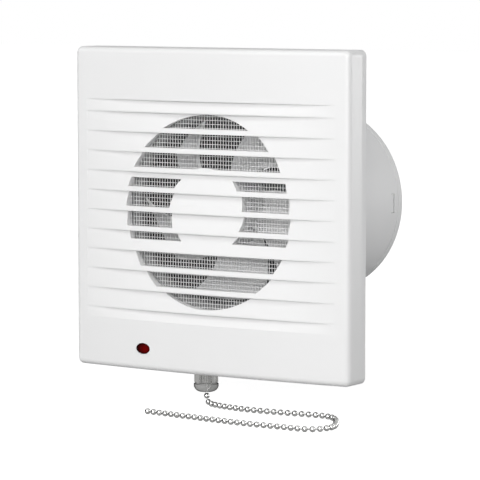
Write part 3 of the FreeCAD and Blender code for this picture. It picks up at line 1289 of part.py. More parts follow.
def knurled_nut():
    """The nut under the skirt: a ring with upright notches all round."""
    body = new_body("knurled_nut")
    outline = start_sketch(body, "knurl_outline", "XY_Plane", f"-{HALF} - knurl_height")
    for index, radius in enumerate(("knurl_radius", "neck_radius + thread_gap")):
        outline.addGeometry(Part.Circle(Vector(), Vector(0, 0, 1), value(radius)), False)
        outline.addConstraint(Sketcher.Constraint("Coincident", index, 3, -1, 1))
        number = outline.addConstraint(Sketcher.Constraint("Radius", index, value(radius)))
        bind(outline, f"Constraints[{number}]", radius)
    pad = body.newObject("PartDesign::Pad", "knurl_pad")
    pad.Profile = outline
    bind(pad, "Length", "knurl_height")
    doc.recompute()
    chamfer = body.newObject("PartDesign::Chamfer", "knurl_chamfer")
    outer = value("knurl_radius")
    rims = [
        f"Edge{i}" for i, edge in enumerate(pad.Shape.Edges, start=1)
        if isinstance(edge.Curve, Part.Circle) and abs(edge.Curve.Radius - outer) < value("press_gap")
    ]
    chamfer.Base = (pad, rims)
    bind(chamfer, "Size", "knurl_edge")

    notch = start_sketch(body, "knurl_notch_outline", "XY_Plane", f"-{HALF} - knurl_height")
    polygon(notch, [
        ("knurl_radius - knurl_notch", "0"),
        ("knurl_radius + knurl_notch", "-knurl_notch * 2"),
        ("knurl_radius + knurl_notch", "knurl_notch * 2"),
    ])
    pocket = body.newObject("PartDesign::Pocket", "knurl_pocket")
    pocket.Profile = notch
    pocket.Reversed = True
    bind(pocket, "Length", "knurl_height")
    doc.recompute()
    pattern = body.newObject("PartDesign::PolarPattern", "knurl_pattern")
    pattern.Originals = [pocket]
    pattern.Axis = (notch, ["N_Axis"])
    pattern.Angle = 360.0
    pattern.Occurrences = KNURL_COUNT
    body.Tip = pattern
    put(body, SWITCH_X, SWITCH_Y)
    node(body, "knurled_nut")


def chain_bell():
    """The polished bell that closes the neck and guides the chain: its lower part is rounded."""
    top = f"(-{HALF} - knurl_height)"
    groove_low = f"({top} - bell_groove)"
    rim_low = f"({groove_low} - bell_rim)"
    mouth = f"({top} - bell_height)"
    neck_end = f"(-{HALF} - neck_below)"
    body = new_body("bell_body")
    sketch = start_sketch(body, "bell_outline", "XZ_Plane")
    corners = [
        ("bell_mouth", mouth),
        ("bell_mouth", f"{neck_end} - thread_gap"),
        ("neck_radius + thread_gap", f"{neck_end} - thread_gap"),
        ("neck_radius + thread_gap", top),
        ("bell_radius - bell_groove", top),
        ("bell_radius - bell_groove", groove_low),
        ("bell_radius", groove_low),
        ("bell_radius", rim_low),
    ]
    points = [Vector(value(across), value(up), 0) for across, up in corners]
    for i in range(len(points) - 1):
        sketch.addGeometry(Part.LineSegment(points[i], points[i + 1]), False)
        if i > 0:
            sketch.addConstraint(Sketcher.Constraint("Coincident", i - 1, 2, i, 1))
        pin_point(sketch, i, 1, *corners[i])
    last_line = len(points) - 2
    pin_point(sketch, last_line, 2, *corners[-1])

    radius = value("bell_round")
    mouth_point, rim_point = points[0], points[-1]
    chord = rim_point - mouth_point
    outward = Vector(chord.y, -chord.x, 0).normalize()
    to_centre = math.sqrt(radius * radius - chord.Length * chord.Length / 4)
    crown = (mouth_point + rim_point) * 0.5 + outward * (radius - to_centre)
    round_side = sketch.addGeometry(Part.Arc(mouth_point, crown, rim_point), False)
    sketch.addConstraint(Sketcher.Constraint("Coincident", round_side, 1, 0, 1))
    sketch.addConstraint(Sketcher.Constraint("Coincident", round_side, 2, last_line, 2))
    index = sketch.addConstraint(Sketcher.Constraint("Radius", round_side, radius))
    bind(sketch, f"Constraints[{index}]", "bell_round")
    turn = body.newObject("PartDesign::Revolution", "bell_turn")
    turn.Profile = sketch
    turn.ReferenceAxis = (sketch, ["V_Axis"])
    turn.Angle = 360.0
    put(body, SWITCH_X, SWITCH_Y)
    node(body, "chain_bell")


def pull_rod():
    rod = turned("rod_body", [
        ("0", ROD_LOW),
        ("rod_radius", ROD_LOW),
        ("rod_radius", COLLAR_LOW),
        ("rod_head_radius", COLLAR_LOW),
        ("rod_head_radius", COLLAR_TOP),
        ("rod_radius", COLLAR_TOP),
        ("rod_radius", ROD_HIGH),
        ("0", ROD_HIGH),
    ], "Z", SWITCH_X, SWITCH_Y)
    node(rod, "pull_rod")


def return_spring():
    """The return spring as a closed sleeve of its outer shape, from the neck to the rod's collar."""
    low = f"({SWITCH_BASE} + switch_wall + spring_gap)"
    length = f"({COLLAR_LOW} - spring_gap) - {low}"
    outer = cylinder("spring_outer", "spring_radius", length, SWITCH_X, SWITCH_Y, low, "Z")
    inner = cylinder("spring_inner", "spring_radius - spring_wire", f"{length} + 2 * overrun",
                     SWITCH_X, SWITCH_Y, f"{low} - overrun", "Z")
    node(cut("return_spring", outer, inner), "return_spring")


def ratchet():
    """The ratchet wheel on its pin, with slanted teeth all round."""
    radius = value("wheel_radius")
    root = radius - value("wheel_tooth")
    points = []
    for i in range(TOOTH_COUNT):
        start = 2 * math.pi * i / TOOTH_COUNT
        end = 2 * math.pi * (i + 1) / TOOTH_COUNT
        points.append(Vector(root * math.cos(start), 0, root * math.sin(start)))
        points.append(Vector(radius * math.cos(end), 0, radius * math.sin(end)))
    blank = Part.Face(Part.makePolygon(points + [points[0]])).extrude(Vector(0, value("wheel_thickness"), 0))
    hole = Part.makeCylinder(value("wheel_pin + wheel_fit"), value("wheel_thickness"), Vector(),
                             Vector(0, 1, 0))
    wheel = shaped("ratchet_wheel", blank.cut(hole))
    node(put(wheel, WHEEL_X, f"{SWITCH_Y} - wheel_thickness / 2", WHEEL_Z), "ratchet_wheel")
    pin = cylinder("ratchet_pin", "wheel_pin", "2 * switch_half_depth - 2 * switch_wall", WHEEL_X,
                   f"{BOX_FRONT} + switch_wall", WHEEL_Z)
    node(pin, "ratchet_pin")


def contacts():
    """Two brass contacts: each has a tab outside the box and a leaf by the wheel."""
    width = (f"{SWITCH_Y} - contact_width / 2", f"{SWITCH_Y} + contact_width / 2")
    tab_end = f"{BOX_RIGHT} + contact_tab"

    feed_left = f"({WHEEL_X} + wheel_radius + contact_gap)"
    feed_tab = box("feed_tab", (feed_left, tab_end), width, (FEED_Z, f"{FEED_Z} + contact_sheet"))
    feed_leaf = box("feed_leaf", (feed_left, f"{feed_left} + contact_sheet"), width,
                    (FEED_Z, f"{WHEEL_Z} + wheel_radius / 2"))
    node(fuse("feed_contact", feed_tab, feed_leaf), "feed_contact")

    load_left = f"({SWITCH_X} + rod_head_radius + contact_gap)"
    under = f"({WHEEL_Z} - wheel_radius - contact_gap)"
    load_tab = box("load_tab", (load_left, tab_end), width, (LOAD_Z, f"{LOAD_Z} + contact_sheet"))
    load_riser = box("load_riser", (load_left, f"{load_left} + contact_sheet"), width, (LOAD_Z, under))
    load_leaf = box("load_leaf", (load_left, f"{WHEEL_X} + wheel_radius / 2"), width,
                    (f"{under} - contact_sheet", under))
    node(fuse("load_contact", load_tab, load_riser, load_leaf), "load_contact")


# Round tubes along a route, with an arc at each corner

def arc_path(points, radii):
    """Straight runs joined by tangent arcs, one radius for each inner corner."""
    edges = []
    here = points[0]
    for previous, corner, following, radius in zip(points, points[1:], points[2:], radii):
        inward = (previous - corner).normalize()
        onward = (following - corner).normalize()
        half_turn = (math.pi - inward.getAngle(onward)) / 2
        reach = radius * math.tan(half_turn)
        entry = corner + inward * reach
        leave = corner + onward * reach
        bisector = (inward + onward).normalize()
        centre = corner + bisector * (radius / math.cos(half_turn))
        edges.append(Part.makeLine(here, entry))
        edges.append(Part.Arc(entry, centre - bisector * radius, leave).toShape())
        here = leave
    edges.append(Part.makeLine(here, points[-1]))
    return Part.Wire(edges)


def tube(path, radius):
    start = path.Edges[0].Vertexes[0].Point
    direction = (path.Edges[0].Vertexes[1].Point - start).normalize()
    profile = Part.Wire(Part.makeCircle(radius, start, direction))
    solid = path.makePipeShell([profile], True, True)
    return solid


def bead_chain():
    """The chain as a plain tube along its route, with a wide arc at each corner."""
    points = [Vector(*point) for point in CHAIN_ROUTE]
    radii = []
    for previous, corner, following in zip(points, points[1:], points[2:]):
        half_turn = (math.pi - (previous - corner).getAngle(following - corner)) / 2
        shorter = min((previous - corner).Length, (following - corner).Length)
        radii.append(CHAIN_ARC_SHARE * shorter / math.tan(half_turn))
    radius = value("chain_radius")
    path = arc_path(points, radii)
    solid = tube(path, radius)
    expected = math.pi * radius * radius * path.Length
    print("chain radii", [round(r, 1) for r in radii])
    print("chain length", round(path.Length, 1), "volume over section times length",
          round(solid.Volume / expected, 4))
    node(shaped("bead_chain", solid), "bead_chain")


def wire(name, route):
    """One inner wire along a route of expressions."""
    points = [Vector(*(value(text) for text in place)) for place in route]
    path = arc_path(points, [value("wire_bend")] * (len(points) - 2))
    return shaped(name, tube(path, value("wire_radius")))


def lead():
    """The wire from the terminal block to the switch's feed contact."""
    tab_end = f"({BOX_RIGHT} + contact_tab + wire_gap)"
    under = f"({TERMINAL_TOP} - terminal_height - wire_bend - wire_radius)"
    port = f"({TERMINAL_TOP} - terminal_height + 2 * terminal_tube_wall)"
    depth = "(-floor_thickness - terminal_depth / 2)"
    first_x = terminal_pole(0)
    entry_x = f"({first_x} - wire_radius - wire_gap)"
    feed = wire("switch_lead", [
        (tab_end, SWITCH_Y, f"{FEED_Z} + contact_sheet / 2"),
        (f"{tab_end} + 4 * wire_bend", SWITCH_Y, f"{FEED_Z} + contact_sheet / 2"),
        (f"{entry_x} - 3 * wire_bend", depth, under),
        (entry_x, depth, under),
        (entry_x, depth, port),
    ])
    node(feed, "switch_lead")


front_cover()
insect_net()
net_ring()
indicator()
housing()
cable_grommet()
cable_clamp()
terminal_block()
motor_holder()
stator()
shading_rings()
coil()
front_bearing_low = bracket("front_bracket", True)
rear_bearing_low = bracket("rear_bracket", False)
bearings(front_bearing_low, rear_bearing_low)
motor_fixings()
rotor()
impeller()
switch_box()
switch_neck()
knurled_nut()
chain_bell()
pull_rod()
return_spring()
ratchet()
contacts()
bead_chain()
lead()

doc.recompute()
for feature in doc.Objects:
    if "Invalid" in feature.State or "Error" in feature.State:
        raise RuntimeError(f"{feature.Name} did not compute: {feature.State}")
for piece in NODES:
    if piece.Shape.isNull() or not piece.Shape.isValid():
        raise RuntimeError(f"{piece.Label} has no valid shape")

os.makedirs("parts", exist_ok=True)
for piece in NODES:
    piece.Shape.exportStep(f"parts/{piece.Label}.step")
print("pieces", len(NODES))
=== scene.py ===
import json
import math

import bmesh
import bpy
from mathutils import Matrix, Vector


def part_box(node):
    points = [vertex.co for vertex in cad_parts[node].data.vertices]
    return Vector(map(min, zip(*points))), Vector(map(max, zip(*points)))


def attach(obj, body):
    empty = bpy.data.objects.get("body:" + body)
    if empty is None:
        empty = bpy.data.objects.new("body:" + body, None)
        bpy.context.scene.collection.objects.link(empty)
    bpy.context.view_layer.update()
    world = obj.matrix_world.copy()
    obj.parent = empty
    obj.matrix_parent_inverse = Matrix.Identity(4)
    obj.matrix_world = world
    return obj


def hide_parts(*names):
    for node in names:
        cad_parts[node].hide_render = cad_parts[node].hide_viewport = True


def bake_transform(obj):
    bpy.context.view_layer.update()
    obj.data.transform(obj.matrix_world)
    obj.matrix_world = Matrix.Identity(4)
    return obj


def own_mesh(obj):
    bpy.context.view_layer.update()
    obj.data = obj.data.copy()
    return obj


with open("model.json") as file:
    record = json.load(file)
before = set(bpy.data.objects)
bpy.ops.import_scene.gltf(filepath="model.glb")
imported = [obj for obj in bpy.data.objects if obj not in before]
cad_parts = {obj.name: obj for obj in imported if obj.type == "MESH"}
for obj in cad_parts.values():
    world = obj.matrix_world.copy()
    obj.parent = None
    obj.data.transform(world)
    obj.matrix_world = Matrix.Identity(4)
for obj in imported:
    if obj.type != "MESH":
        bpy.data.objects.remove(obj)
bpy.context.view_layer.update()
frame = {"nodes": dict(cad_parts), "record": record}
nodes = frame["nodes"]
record = frame["record"]

MM = 0.001
IMAGE_SIZE = 480

# Camera, as fitted to the photograph
CAMERA_PLACE = Vector((0.7931, -1.2064, 0.1197))
CAMERA_YAW = math.radians(33.03)
CAMERA_PITCH = math.radians(5.34)
CAMERA_FOCAL_PIXELS = 2819
CAMERA_CLIP_END = 30
SENSOR_WIDTH = 36.0

# Noise, from 0 to 1: few of its values lie outside these ranges, so ramps spread out what is inside
FINE_RANGE = (0.3, 0.7)
FLOW_MARK_RANGE = (0.35, 0.65)
PATCH_RANGE = (0.35, 0.7)
SCRATCH_RANGE = (0.25, 0.75)
FULL_RANGE = (0.0, 1.0)

# Moulded plastic
FLOW_MARK_SCALE = 14.0
PLASTIC_GRAIN = 1800.0
PLASTIC_RELIEF = 0.12
PLASTIC_RELIEF_DEPTH = 0.02 * MM
PLASTIC_ROUGH_SHARES = (0.88, 1.12)

# Metal
SCRATCH_SCALE = 2500.0
SCRATCH_DEPTH = 0.01 * MM
METAL_PATCH_SCALE = 90.0
METAL_PATCH_SHADE = 0.9
METAL_ROUGH_SHARES = (0.75, 1.3)

# The lens: a painted highlight right of its middle, in half widths of the lens, that fades to painted shade
# at its edge
LENS_HIGHLIGHT_SHIFT = 0.3
LENS_UPRIGHT_STRETCH = 1.5
LENS_FADE = (0.1, 0.9)
LENS_PAINTED_EDGE_SHADE = 0.05
LENS_ROUGH = (0.08, 0.16)

# The housing's painted shade inside, standing in for the duct's shadow: as wide as the inlet in front of
# INLET_END and as the bore behind it
INLET_RADIUS = 51.8 * MM
BORE_RADIUS = 48.2 * MM
BORE_EDGE = 0.4 * MM
INLET_END = (-3 * MM, -1.5 * MM)
MOUTH_TO_INSIDE = (-9 * MM, -2 * MM)

# The chain's route, as in the part's source
CHAIN_ROUTE = [
    (-0.0060, -0.0092, -0.0900),
    (-0.0060, -0.0092, -0.0987),
    (0.0025, -0.0148, -0.0987),
    (0.0150, -0.0184, -0.0987),
    (0.0330, -0.0196, -0.0987),
    (0.0550, -0.0167, -0.0987),
    (0.0700, -0.0149, -0.0987),
    (0.0785, -0.0200, -0.0987),
    (0.0870, -0.0335, -0.0987),
    (0.0920, -0.0455, -0.0987),
    (0.0855, -0.0565, -0.0987),
    (0.0720, -0.0562, -0.0987),
    (0.0500, -0.0573, -0.0987),
    (0.0280, -0.0558, -0.0987),
    (0.0050, -0.0531, -0.0987),
    (-0.0150, -0.0510, -0.0987),
]
ROUTE_RESOLUTION = 24
BEAD_RADIUS = 1.5 * MM
BEAD_PITCH = 3.86 * MM
BEAD_SIDES = 18
BEAD_RINGS = 12
LINK_RADIUS = 0.4 * MM
LINK_SIDES = 8
LINK_STEPS = 4
BEAD_END_RADIUS = LINK_RADIUS * 1.3

# The insect net
NET_PITCH_ACROSS = 1.63 * MM
NET_PITCH_UP = 2.04 * MM
NET_THREAD_HALF = 0.13 * MM
NET_THREAD_DEPTH = 0.09 * MM
NET_WAVE = 0.1 * MM
NET_EDGE = 0.7 * MM
NET_RIM_SIDES = 96
NET_THREAD_CORNERS = ((-1, -1), (1, -1), (1, 1), (-1, 1))

# The return spring
SPRING_WIRE_RADIUS = 0.25 * MM
SPRING_TURNS = 7
SPRING_STEPS = 20
SPRING_SIDES = 8

# The floor: its glow in the view, near the part and far from it, and the share that gloss shows
FLOOR_REACH = 6.0
FLOOR_COLOUR = (0.42, 0.42, 0.42)
FLOOR_GLOW_NEAR = 0.88
FLOOR_GLOW_FAR = 1.0
FLOOR_GLOW_DISTANCES = (0.2, 1.2)
FLOOR_GLOW_IN_GLOSS = 0.2

# The room: its light from the front and from behind, and what gloss and glass show of it
ROOM_LIGHT_FRONT = 0.3
ROOM_LIGHT_BACK = 0.06
ROOM_FRONT_TO_BACK = (-0.2, 0.5)
ROOM_DARK_SIDE = 0.03
ROOM_WALLS = 0.9
ROOM_DARK_TO_WALLS = (-0.85, -0.35)

# Lamps: degrees around the fan and up from its axis, metres away, width in metres, power in watts
LAMPS = {
    "key_lamp": {"azimuth": 6, "elevation": 14, "distance": 1.7, "size": 0.4, "power": 9.7},
    "fill_lamp": {"azimuth": 36, "elevation": 9, "distance": 1.7, "size": 0.4, "power": 7},
    "top_lamp": {"azimuth": -12, "elevation": 48, "distance": 2.0, "size": 0.9, "power": 11},
    "side_lamp": {"azimuth": 138, "elevation": 4, "distance": 1.6, "size": 0.9, "power": 11.5},
}

# The Mix node's sockets for colours share their names with others, so they go by number
MIX_COLOUR_INPUTS = (6, 7)
MIX_COLOUR_OUTPUT = 2


# Nodes of materials and of the world

def is_socket(entry):
    return isinstance(entry, bpy.types.NodeSocket)


class Nodes:
    """A node tree under construction, with short ways to add nodes to it."""

    def __init__(self, tree):
        self.tree = tree

    def link(self, source, target):
        self.tree.links.new(source, target)

    def feed(self, target, entry):
        """Gives a socket a link where the entry is a socket, and otherwise the plain value."""
        if is_socket(entry):
            self.link(entry, target)
        else:
            target.default_value = entry

    def node(self, kind, **inputs):
        made = self.tree.nodes.new(kind)
        for key, entry in inputs.items():
            self.feed(made.inputs[key.replace("_", " ")], entry)
        return made

    def calculate(self, operation, first, second):
        made = self.node("ShaderNodeMath")
        made.operation = operation
        self.feed(made.inputs[0], first)
        self.feed(made.inputs[1], second)
        return made.outputs[0]

    def length(self, vector):
        made = self.node("ShaderNodeVectorMath")
        made.operation = "LENGTH"
        self.link(vector, made.inputs[0])
        return made.outputs["Value"]

    def ramp(self, factor, limits, ends, interpolation="LINEAR"):
        """Goes from the first end to the second while the factor goes from limit to limit."""
        made = self.node(
            "ShaderNodeMapRange",
            Value=factor,
            From_Min=limits[0],
            From_Max=limits[1],
            To_Min=ends[0],
            To_Max=ends[1],
        )
        made.interpolation_type = interpolation
        return made.outputs["Result"]

    def mix_numbers(self, factor, first, second):
        return self.node("ShaderNodeMix", Factor=factor, A=first, B=second).outputs["Result"]

    def mix_colours(self, factor, first, second):
        made = self.node("ShaderNodeMix")
        made.data_type = "RGBA"
        self.link(factor, made.inputs["Factor"])
        for index, entry in zip(MIX_COLOUR_INPUTS, (first, second)):
            self.feed(made.inputs[index], entry if is_socket(entry) else (*entry, 1))
        return made.outputs[MIX_COLOUR_OUTPUT]


class Paint(Nodes):
    """A material under construction around one Principled shader."""

    def __init__(self, name):
        self.material = bpy.data.materials.new(name)
        self.material.use_nodes = True
        super().__init__(self.material.node_tree)
        self.tree.nodes.clear()
        output = self.node("ShaderNodeOutputMaterial")
        self.shader = self.node("ShaderNodeBsdfPrincipled")
        self.link(self.shader.outputs["BSDF"], output.inputs["Surface"])
        self.place = self.node("ShaderNodeTexCoord").outputs["Object"]

    def noise(self, scale, detail, stretch=(1, 1, 1)):
        mapping = self.node("ShaderNodeMapping", Vector=self.place, Scale=stretch)
        vector = mapping.outputs["Vector"]
        return self.node("ShaderNodeTexNoise", Vector=vector, Scale=scale, Detail=detail).outputs["Fac"]

    def colour(self, factor, first, second):
        """Paints the first colour where the factor is 0 and the second where it is 1."""
        self.link(self.mix_colours(factor, first, second), self.shader.inputs["Base Color"])

    def rough(self, factor, limits, ends):
        self.link(self.ramp(factor, limits, ends), self.shader.inputs["Roughness"])

    def bump(self, height, strength, distance):
        made = self.node("ShaderNodeBump", Height=height, Strength=strength, Distance=distance)
        self.link(made.outputs["Normal"], self.shader.inputs["Normal"])

    def even(self, **values):
        """Sets the shader's values that are the same all over the surface."""
        for key, entry in values.items():
            self.shader.inputs[key.replace("_", " ")].default_value = entry


# Materials

def shade(colour, factor):
    return tuple(channel * factor for channel in colour)


def add_grain(paint, rough, grain, relief):
    """Gives a paint the fine grain and slightly uneven gloss of moulded plastic."""
    fine = paint.noise(grain, detail=4.0)
    low, high = PLASTIC_ROUGH_SHARES
    paint.rough(fine, FINE_RANGE, (rough * low, rough * high))
    paint.bump(fine, relief, PLASTIC_RELIEF_DEPTH)


def plastic(name, colour, rough, grain=PLASTIC_GRAIN, relief=PLASTIC_RELIEF, mottle=0.97, shine=0.5):
    """Moulded plastic: a fine grain, faint flow marks and a slightly uneven gloss."""
    paint = Paint(name)
    flow_marks = paint.noise(FLOW_MARK_SCALE, detail=2.0)
    tone = paint.ramp(flow_marks, FLOW_MARK_RANGE, FULL_RANGE)
    paint.colour(tone, shade(colour, mottle), colour)
    add_grain(paint, rough, grain, relief)
    paint.even(Specular_IOR_Level=shine)
    return paint.material


def metal(name, colour, rough, stretch=(1, 1, 1), relief=0.1, edge_tint=1.0):
    """Bare or plated metal with fine scratches and slightly duller patches."""
    paint = Paint(name)
    scratches = paint.noise(SCRATCH_SCALE, detail=5.0, stretch=stretch)
    patches = paint.noise(METAL_PATCH_SCALE, detail=3.0)
    tone = paint.ramp(patches, PATCH_RANGE, FULL_RANGE)
    paint.colour(tone, shade(colour, METAL_PATCH_SHADE), colour)
    low, high = METAL_ROUGH_SHARES
    paint.rough(scratches, SCRATCH_RANGE, (rough * low, rough * high))
    paint.bump(scratches, relief, SCRATCH_DEPTH)
    paint.even(Metallic=1.0, Specular_Tint=(edge_tint, edge_tint, edge_tint, 1))
    return paint.material


def lens_material(name, colour):
    """Smooth dark red plastic with a painted highlight a little right of its middle, fading to painted
    shade, nearly black, at its edge.
    """
    low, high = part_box("indicator_lens")
    half_width = (high.x - low.x) / 2
    highlight_centre = (low + high) / 2 + Vector((half_width * LENS_HIGHLIGHT_SHIFT, 0, 0))
    scale = Vector((1 / half_width, 0, LENS_UPRIGHT_STRETCH / half_width))
    paint = Paint(name)
    mapping = paint.node("ShaderNodeMapping", Vector=paint.place, Location=-highlight_centre * scale, Scale=scale)
    edge = paint.ramp(paint.length(mapping.outputs["Vector"]), LENS_FADE, FULL_RANGE)
    # Painted light: a painted highlight in the middle, where light comes through the lens, and painted
    # shade at its edge
    paint.colour(edge, colour, shade(colour, LENS_PAINTED_EDGE_SHADE))
    fine = paint.noise(scale=700.0, detail=2.0)
    paint.rough(fine, FINE_RANGE, LENS_ROUGH)
    paint.bump(fine, strength=0.04, distance=0.05 * MM)
    paint.even(Specular_IOR_Level=0.05)
    return paint.material


def housing_material(name, outside, inlet_shade, inside, rough):
    """Moulded plastic, pale outside, with painted shade: greyer at the inlet and dark inside the spigot's
    bore, where the duct lies in shadow.
    """
    paint = Paint(name)
    spread = paint.node("ShaderNodeMapping", Vector=paint.place, Scale=(1, 0, 1))
    from_axis = paint.length(spread.outputs["Vector"])
    depth = paint.node("ShaderNodeSeparateXYZ", Vector=paint.place).outputs["Y"]
    shade_radius = paint.ramp(depth, INLET_END, (INLET_RADIUS, BORE_RADIUS))
    beyond = paint.calculate("SUBTRACT", from_axis, shade_radius)
    outer = paint.ramp(beyond, (0.0, BORE_EDGE), FULL_RANGE)
    deep = paint.ramp(depth, MOUTH_TO_INSIDE, FULL_RANGE)
    # Painted shade: the inlet's grey and the bore's near black stand in for the shadow inside the duct
    paint.colour(outer, paint.mix_colours(deep, inlet_shade, inside), outside)
    add_grain(paint, rough, PLASTIC_GRAIN, PLASTIC_RELIEF)
    paint.even(Specular_IOR_Level=0.15)
    return paint.material


def glass_material(name, colour):
    """Clear glass, slightly uneven in its tint and gloss."""
    paint = Paint(name)
    fine = paint.noise(scale=400.0, detail=2.0)
    paint.colour(fine, colour, shade(colour, 0.9))
    paint.rough(fine, FINE_RANGE, (0.03, 0.08))
    paint.even(Transmission_Weight=0.9, IOR=1.5)
    return paint.material


def stack_material(name, colour):
    """The stator's sheets: fine parallel lines across the stack."""
    paint = Paint(name)
    wave = paint.node("ShaderNodeTexWave", Vector=paint.place, Scale=320.0, Distortion=0.4, Detail=1.0)
    wave.bands_direction = "Y"
    patches = paint.noise(scale=120.0, detail=3.0)
    paint.colour(patches, shade(colour, 0.7), colour)
    paint.rough(patches, FINE_RANGE, (0.35, 0.55))
    paint.bump(wave.outputs["Fac"], strength=0.5, distance=0.1 * MM)
    paint.even(Metallic=0.9)
    return paint.material


def tape_material(name, colour):
    """The coil's tape: overlapping turns across the winding."""
    paint = Paint(name)
    wave = paint.node("ShaderNodeTexWave", Vector=paint.place, Scale=90.0, Distortion=1.2, Detail=2.0)
    wave.bands_direction = "X"
    wave.wave_profile = "SAW"
    fine = paint.noise(scale=900.0, detail=3.0)
    paint.colour(wave.outputs["Fac"], colour, shade(colour, 0.8))
    paint.rough(fine, FINE_RANGE, (0.28, 0.42))
    paint.bump(wave.outputs["Fac"], strength=0.6, distance=0.15 * MM)
    return paint.material


def outer_materials():
    """Materials of what is seen from outside, by the record's slots."""
    return {
        "cover_plastic": plastic("white_cover", (0.86, 0.86, 0.86), rough=0.32, relief=0.08, mottle=0.985),
        "net_plastic": plastic("net_thread", (0.8, 0.8, 0.8), rough=0.5, grain=4000.0, shine=0.3),
        "lens_plastic": lens_material("lens_red", (0.14, 0.0, 0.0)),
        "housing_plastic": housing_material(
            "grey_white_housing",
            outside=(0.86, 0.862, 0.865),
            # The inlet's grey and the inside's near black are painted shade for the shadowed duct
            inlet_shade=(0.3, 0.3, 0.3),
            inside=(0.03, 0.03, 0.03),
            rough=0.5,
        ),
        "impeller_plastic": plastic("impeller_plastic", (0.94, 0.94, 0.94), rough=0.4),
        "nickel_plate": metal("nickel_plate", (0.7, 0.7, 0.69), rough=0.08, relief=0.04, edge_tint=0.0),
    }


def inner_materials():
    """Materials of what lies inside or at the cable's entry, by the record's slots."""
    return {
        "lamp_glass": glass_material("lamp_glass", (0.95, 0.85, 0.78)),
        "inner_plastic": plastic("inner_plastic", (0.06, 0.06, 0.058), rough=0.45),
        "grommet_rubber": plastic("grommet_rubber", (0.03, 0.03, 0.03), rough=0.75, relief=0.3, mottle=0.8),
        "terminal_plastic": plastic("terminal_plastic", (0.78, 0.78, 0.72), rough=0.38),
        "contact_brass": metal("contact_brass", (0.72, 0.53, 0.22), rough=0.3),
        "zinc_steel": metal("zinc_steel", (0.62, 0.64, 0.66), rough=0.32),
        "lamination_steel": stack_material("lamination_steel", (0.25, 0.26, 0.28)),
        "bobbin_plastic": plastic("bobbin_plastic", (0.05, 0.05, 0.055), rough=0.5),
        "coil_tape": tape_material("coil_tape", (0.68, 0.48, 0.06)),
        "ring_copper": metal("ring_copper", (0.78, 0.38, 0.22), rough=0.3),
        "bearing_bronze": metal("bearing_bronze", (0.55, 0.38, 0.2), rough=0.45),
        "rotor_aluminium": metal("rotor_aluminium", (0.62, 0.63, 0.64), rough=0.4),
        "shaft_steel": metal("shaft_steel", (0.6, 0.61, 0.62), rough=0.2, stretch=(1, 8, 1)),
        "switch_plastic": plastic("switch_plastic", (0.76, 0.74, 0.68), rough=0.35),
        "lead_plastic": plastic("lead_plastic", (0.11, 0.04, 0.015), rough=0.45),
    }


materials = {**outer_materials(), **inner_materials()}
slot_of_node = {entry["node"]: entry["material_slot"] for entry in record["subparts"]}
for name, cad in nodes.items():
    cad.data.materials.clear()
    cad.data.materials.append(materials[slot_of_node[name]])


# Mesh helpers

def mesh_from(name, points, faces):
    data = bpy.data.meshes.new(name)
    data.from_pydata(points, [], faces)
    data.update()
    return data


def fix_normals(data):
    """Turns all faces of a closed mesh outwards."""
    shell = bmesh.new()
    shell.from_mesh(data)
    bmesh.ops.recalc_face_normals(shell, faces=shell.faces)
    shell.to_mesh(data)
    shell.free()


def new_piece(name, points, faces, slot, body=None, smooth=True):
    """Makes a closed mesh a piece with a slot's material, riding on a body where one is given."""
    data = mesh_from(name, points, faces)
    fix_normals(data)
    data.materials.append(materials[slot])
    for face in data.polygons:
        face.use_smooth = smooth
    piece = bpy.data.objects.new(name, data)
    bpy.context.scene.collection.objects.link(piece)
    if body:
        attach(piece, body)
    return piece


def add_skin(faces, start, rings, sides):
    """Adds the faces between rings of points, from the point at start on, and closes both ends."""
    for i in range(rings - 1):
        for k in range(sides):
            a = start + i * sides + k
            b = start + i * sides + (k + 1) % sides
            faces.append((a, b, b + sides, a + sides))
    faces.append(tuple(start + k for k in reversed(range(sides))))
    last = start + (rings - 1) * sides
    faces.append(tuple(last + k for k in range(sides)))


def add_tube(points, faces, line, radius, sides):
    """Adds a capped round tube along a line of points."""
    start = len(points)
    side = None
    for i, here in enumerate(line):
        ahead = line[min(i + 1, len(line) - 1)] - line[max(i - 1, 0)]
        ahead.normalize()
        if side is None:
            side = ahead.orthogonal().normalized()
        side = (side - ahead * side.dot(ahead)).normalized()
        up = ahead.cross(side)
        for k in range(sides):
            angle = 2 * math.pi * k / sides
            points.append(here + (side * math.cos(angle) + up * math.sin(angle)) * radius)
    add_skin(faces, start, len(line), sides)


# The insect net: flat woven threads inside a narrow edge

def add_thread(points, faces, centre, inner, number, upright):
    """Adds one thread of the net, which passes in front of and behind the threads that it crosses."""
    pitch, crossing_pitch = NET_PITCH_UP, NET_PITCH_ACROSS
    if upright:
        pitch, crossing_pitch = NET_PITCH_ACROSS, NET_PITCH_UP
    fixed = number * pitch
    reach = math.sqrt(inner * inner - fixed * fixed)
    steps = int(reach / crossing_pitch)
    stations = [-reach] + [k * crossing_pitch for k in range(-steps, steps + 1)] + [reach]
    start = len(points)
    for along in stations:
        crossing = round(along / crossing_pitch)
        wave = NET_WAVE if (crossing + number) % 2 else -NET_WAVE
        for across, deep in NET_THREAD_CORNERS:
            flat = fixed + across * NET_THREAD_HALF
            depth = centre.y + wave * (1 if upright else -1) + deep * NET_THREAD_DEPTH
            x, z = (flat, along) if upright else (along, flat)
            points.append(Vector((centre.x + x, depth, centre.z + z)))
    add_skin(faces, start, len(stations), len(NET_THREAD_CORNERS))


def add_net_edge(points, faces, centre, profile):
    """Adds the net's edge, a profile of four corners turned around the net's axis."""
    start = len(points)
    for k in range(NET_RIM_SIDES):
        angle = 2 * math.pi * k / NET_RIM_SIDES
        for r, y in profile:
            points.append(Vector((centre.x + r * math.cos(angle), y, centre.z + r * math.sin(angle))))
    corners = len(profile)
    for k in range(NET_RIM_SIDES):
        here = start + corners * k
        following = start + corners * ((k + 1) % NET_RIM_SIDES)
        for j in range(corners):
            up = (j + 1) % corners
            faces.append((here + j, here + up, following + up, following + j))


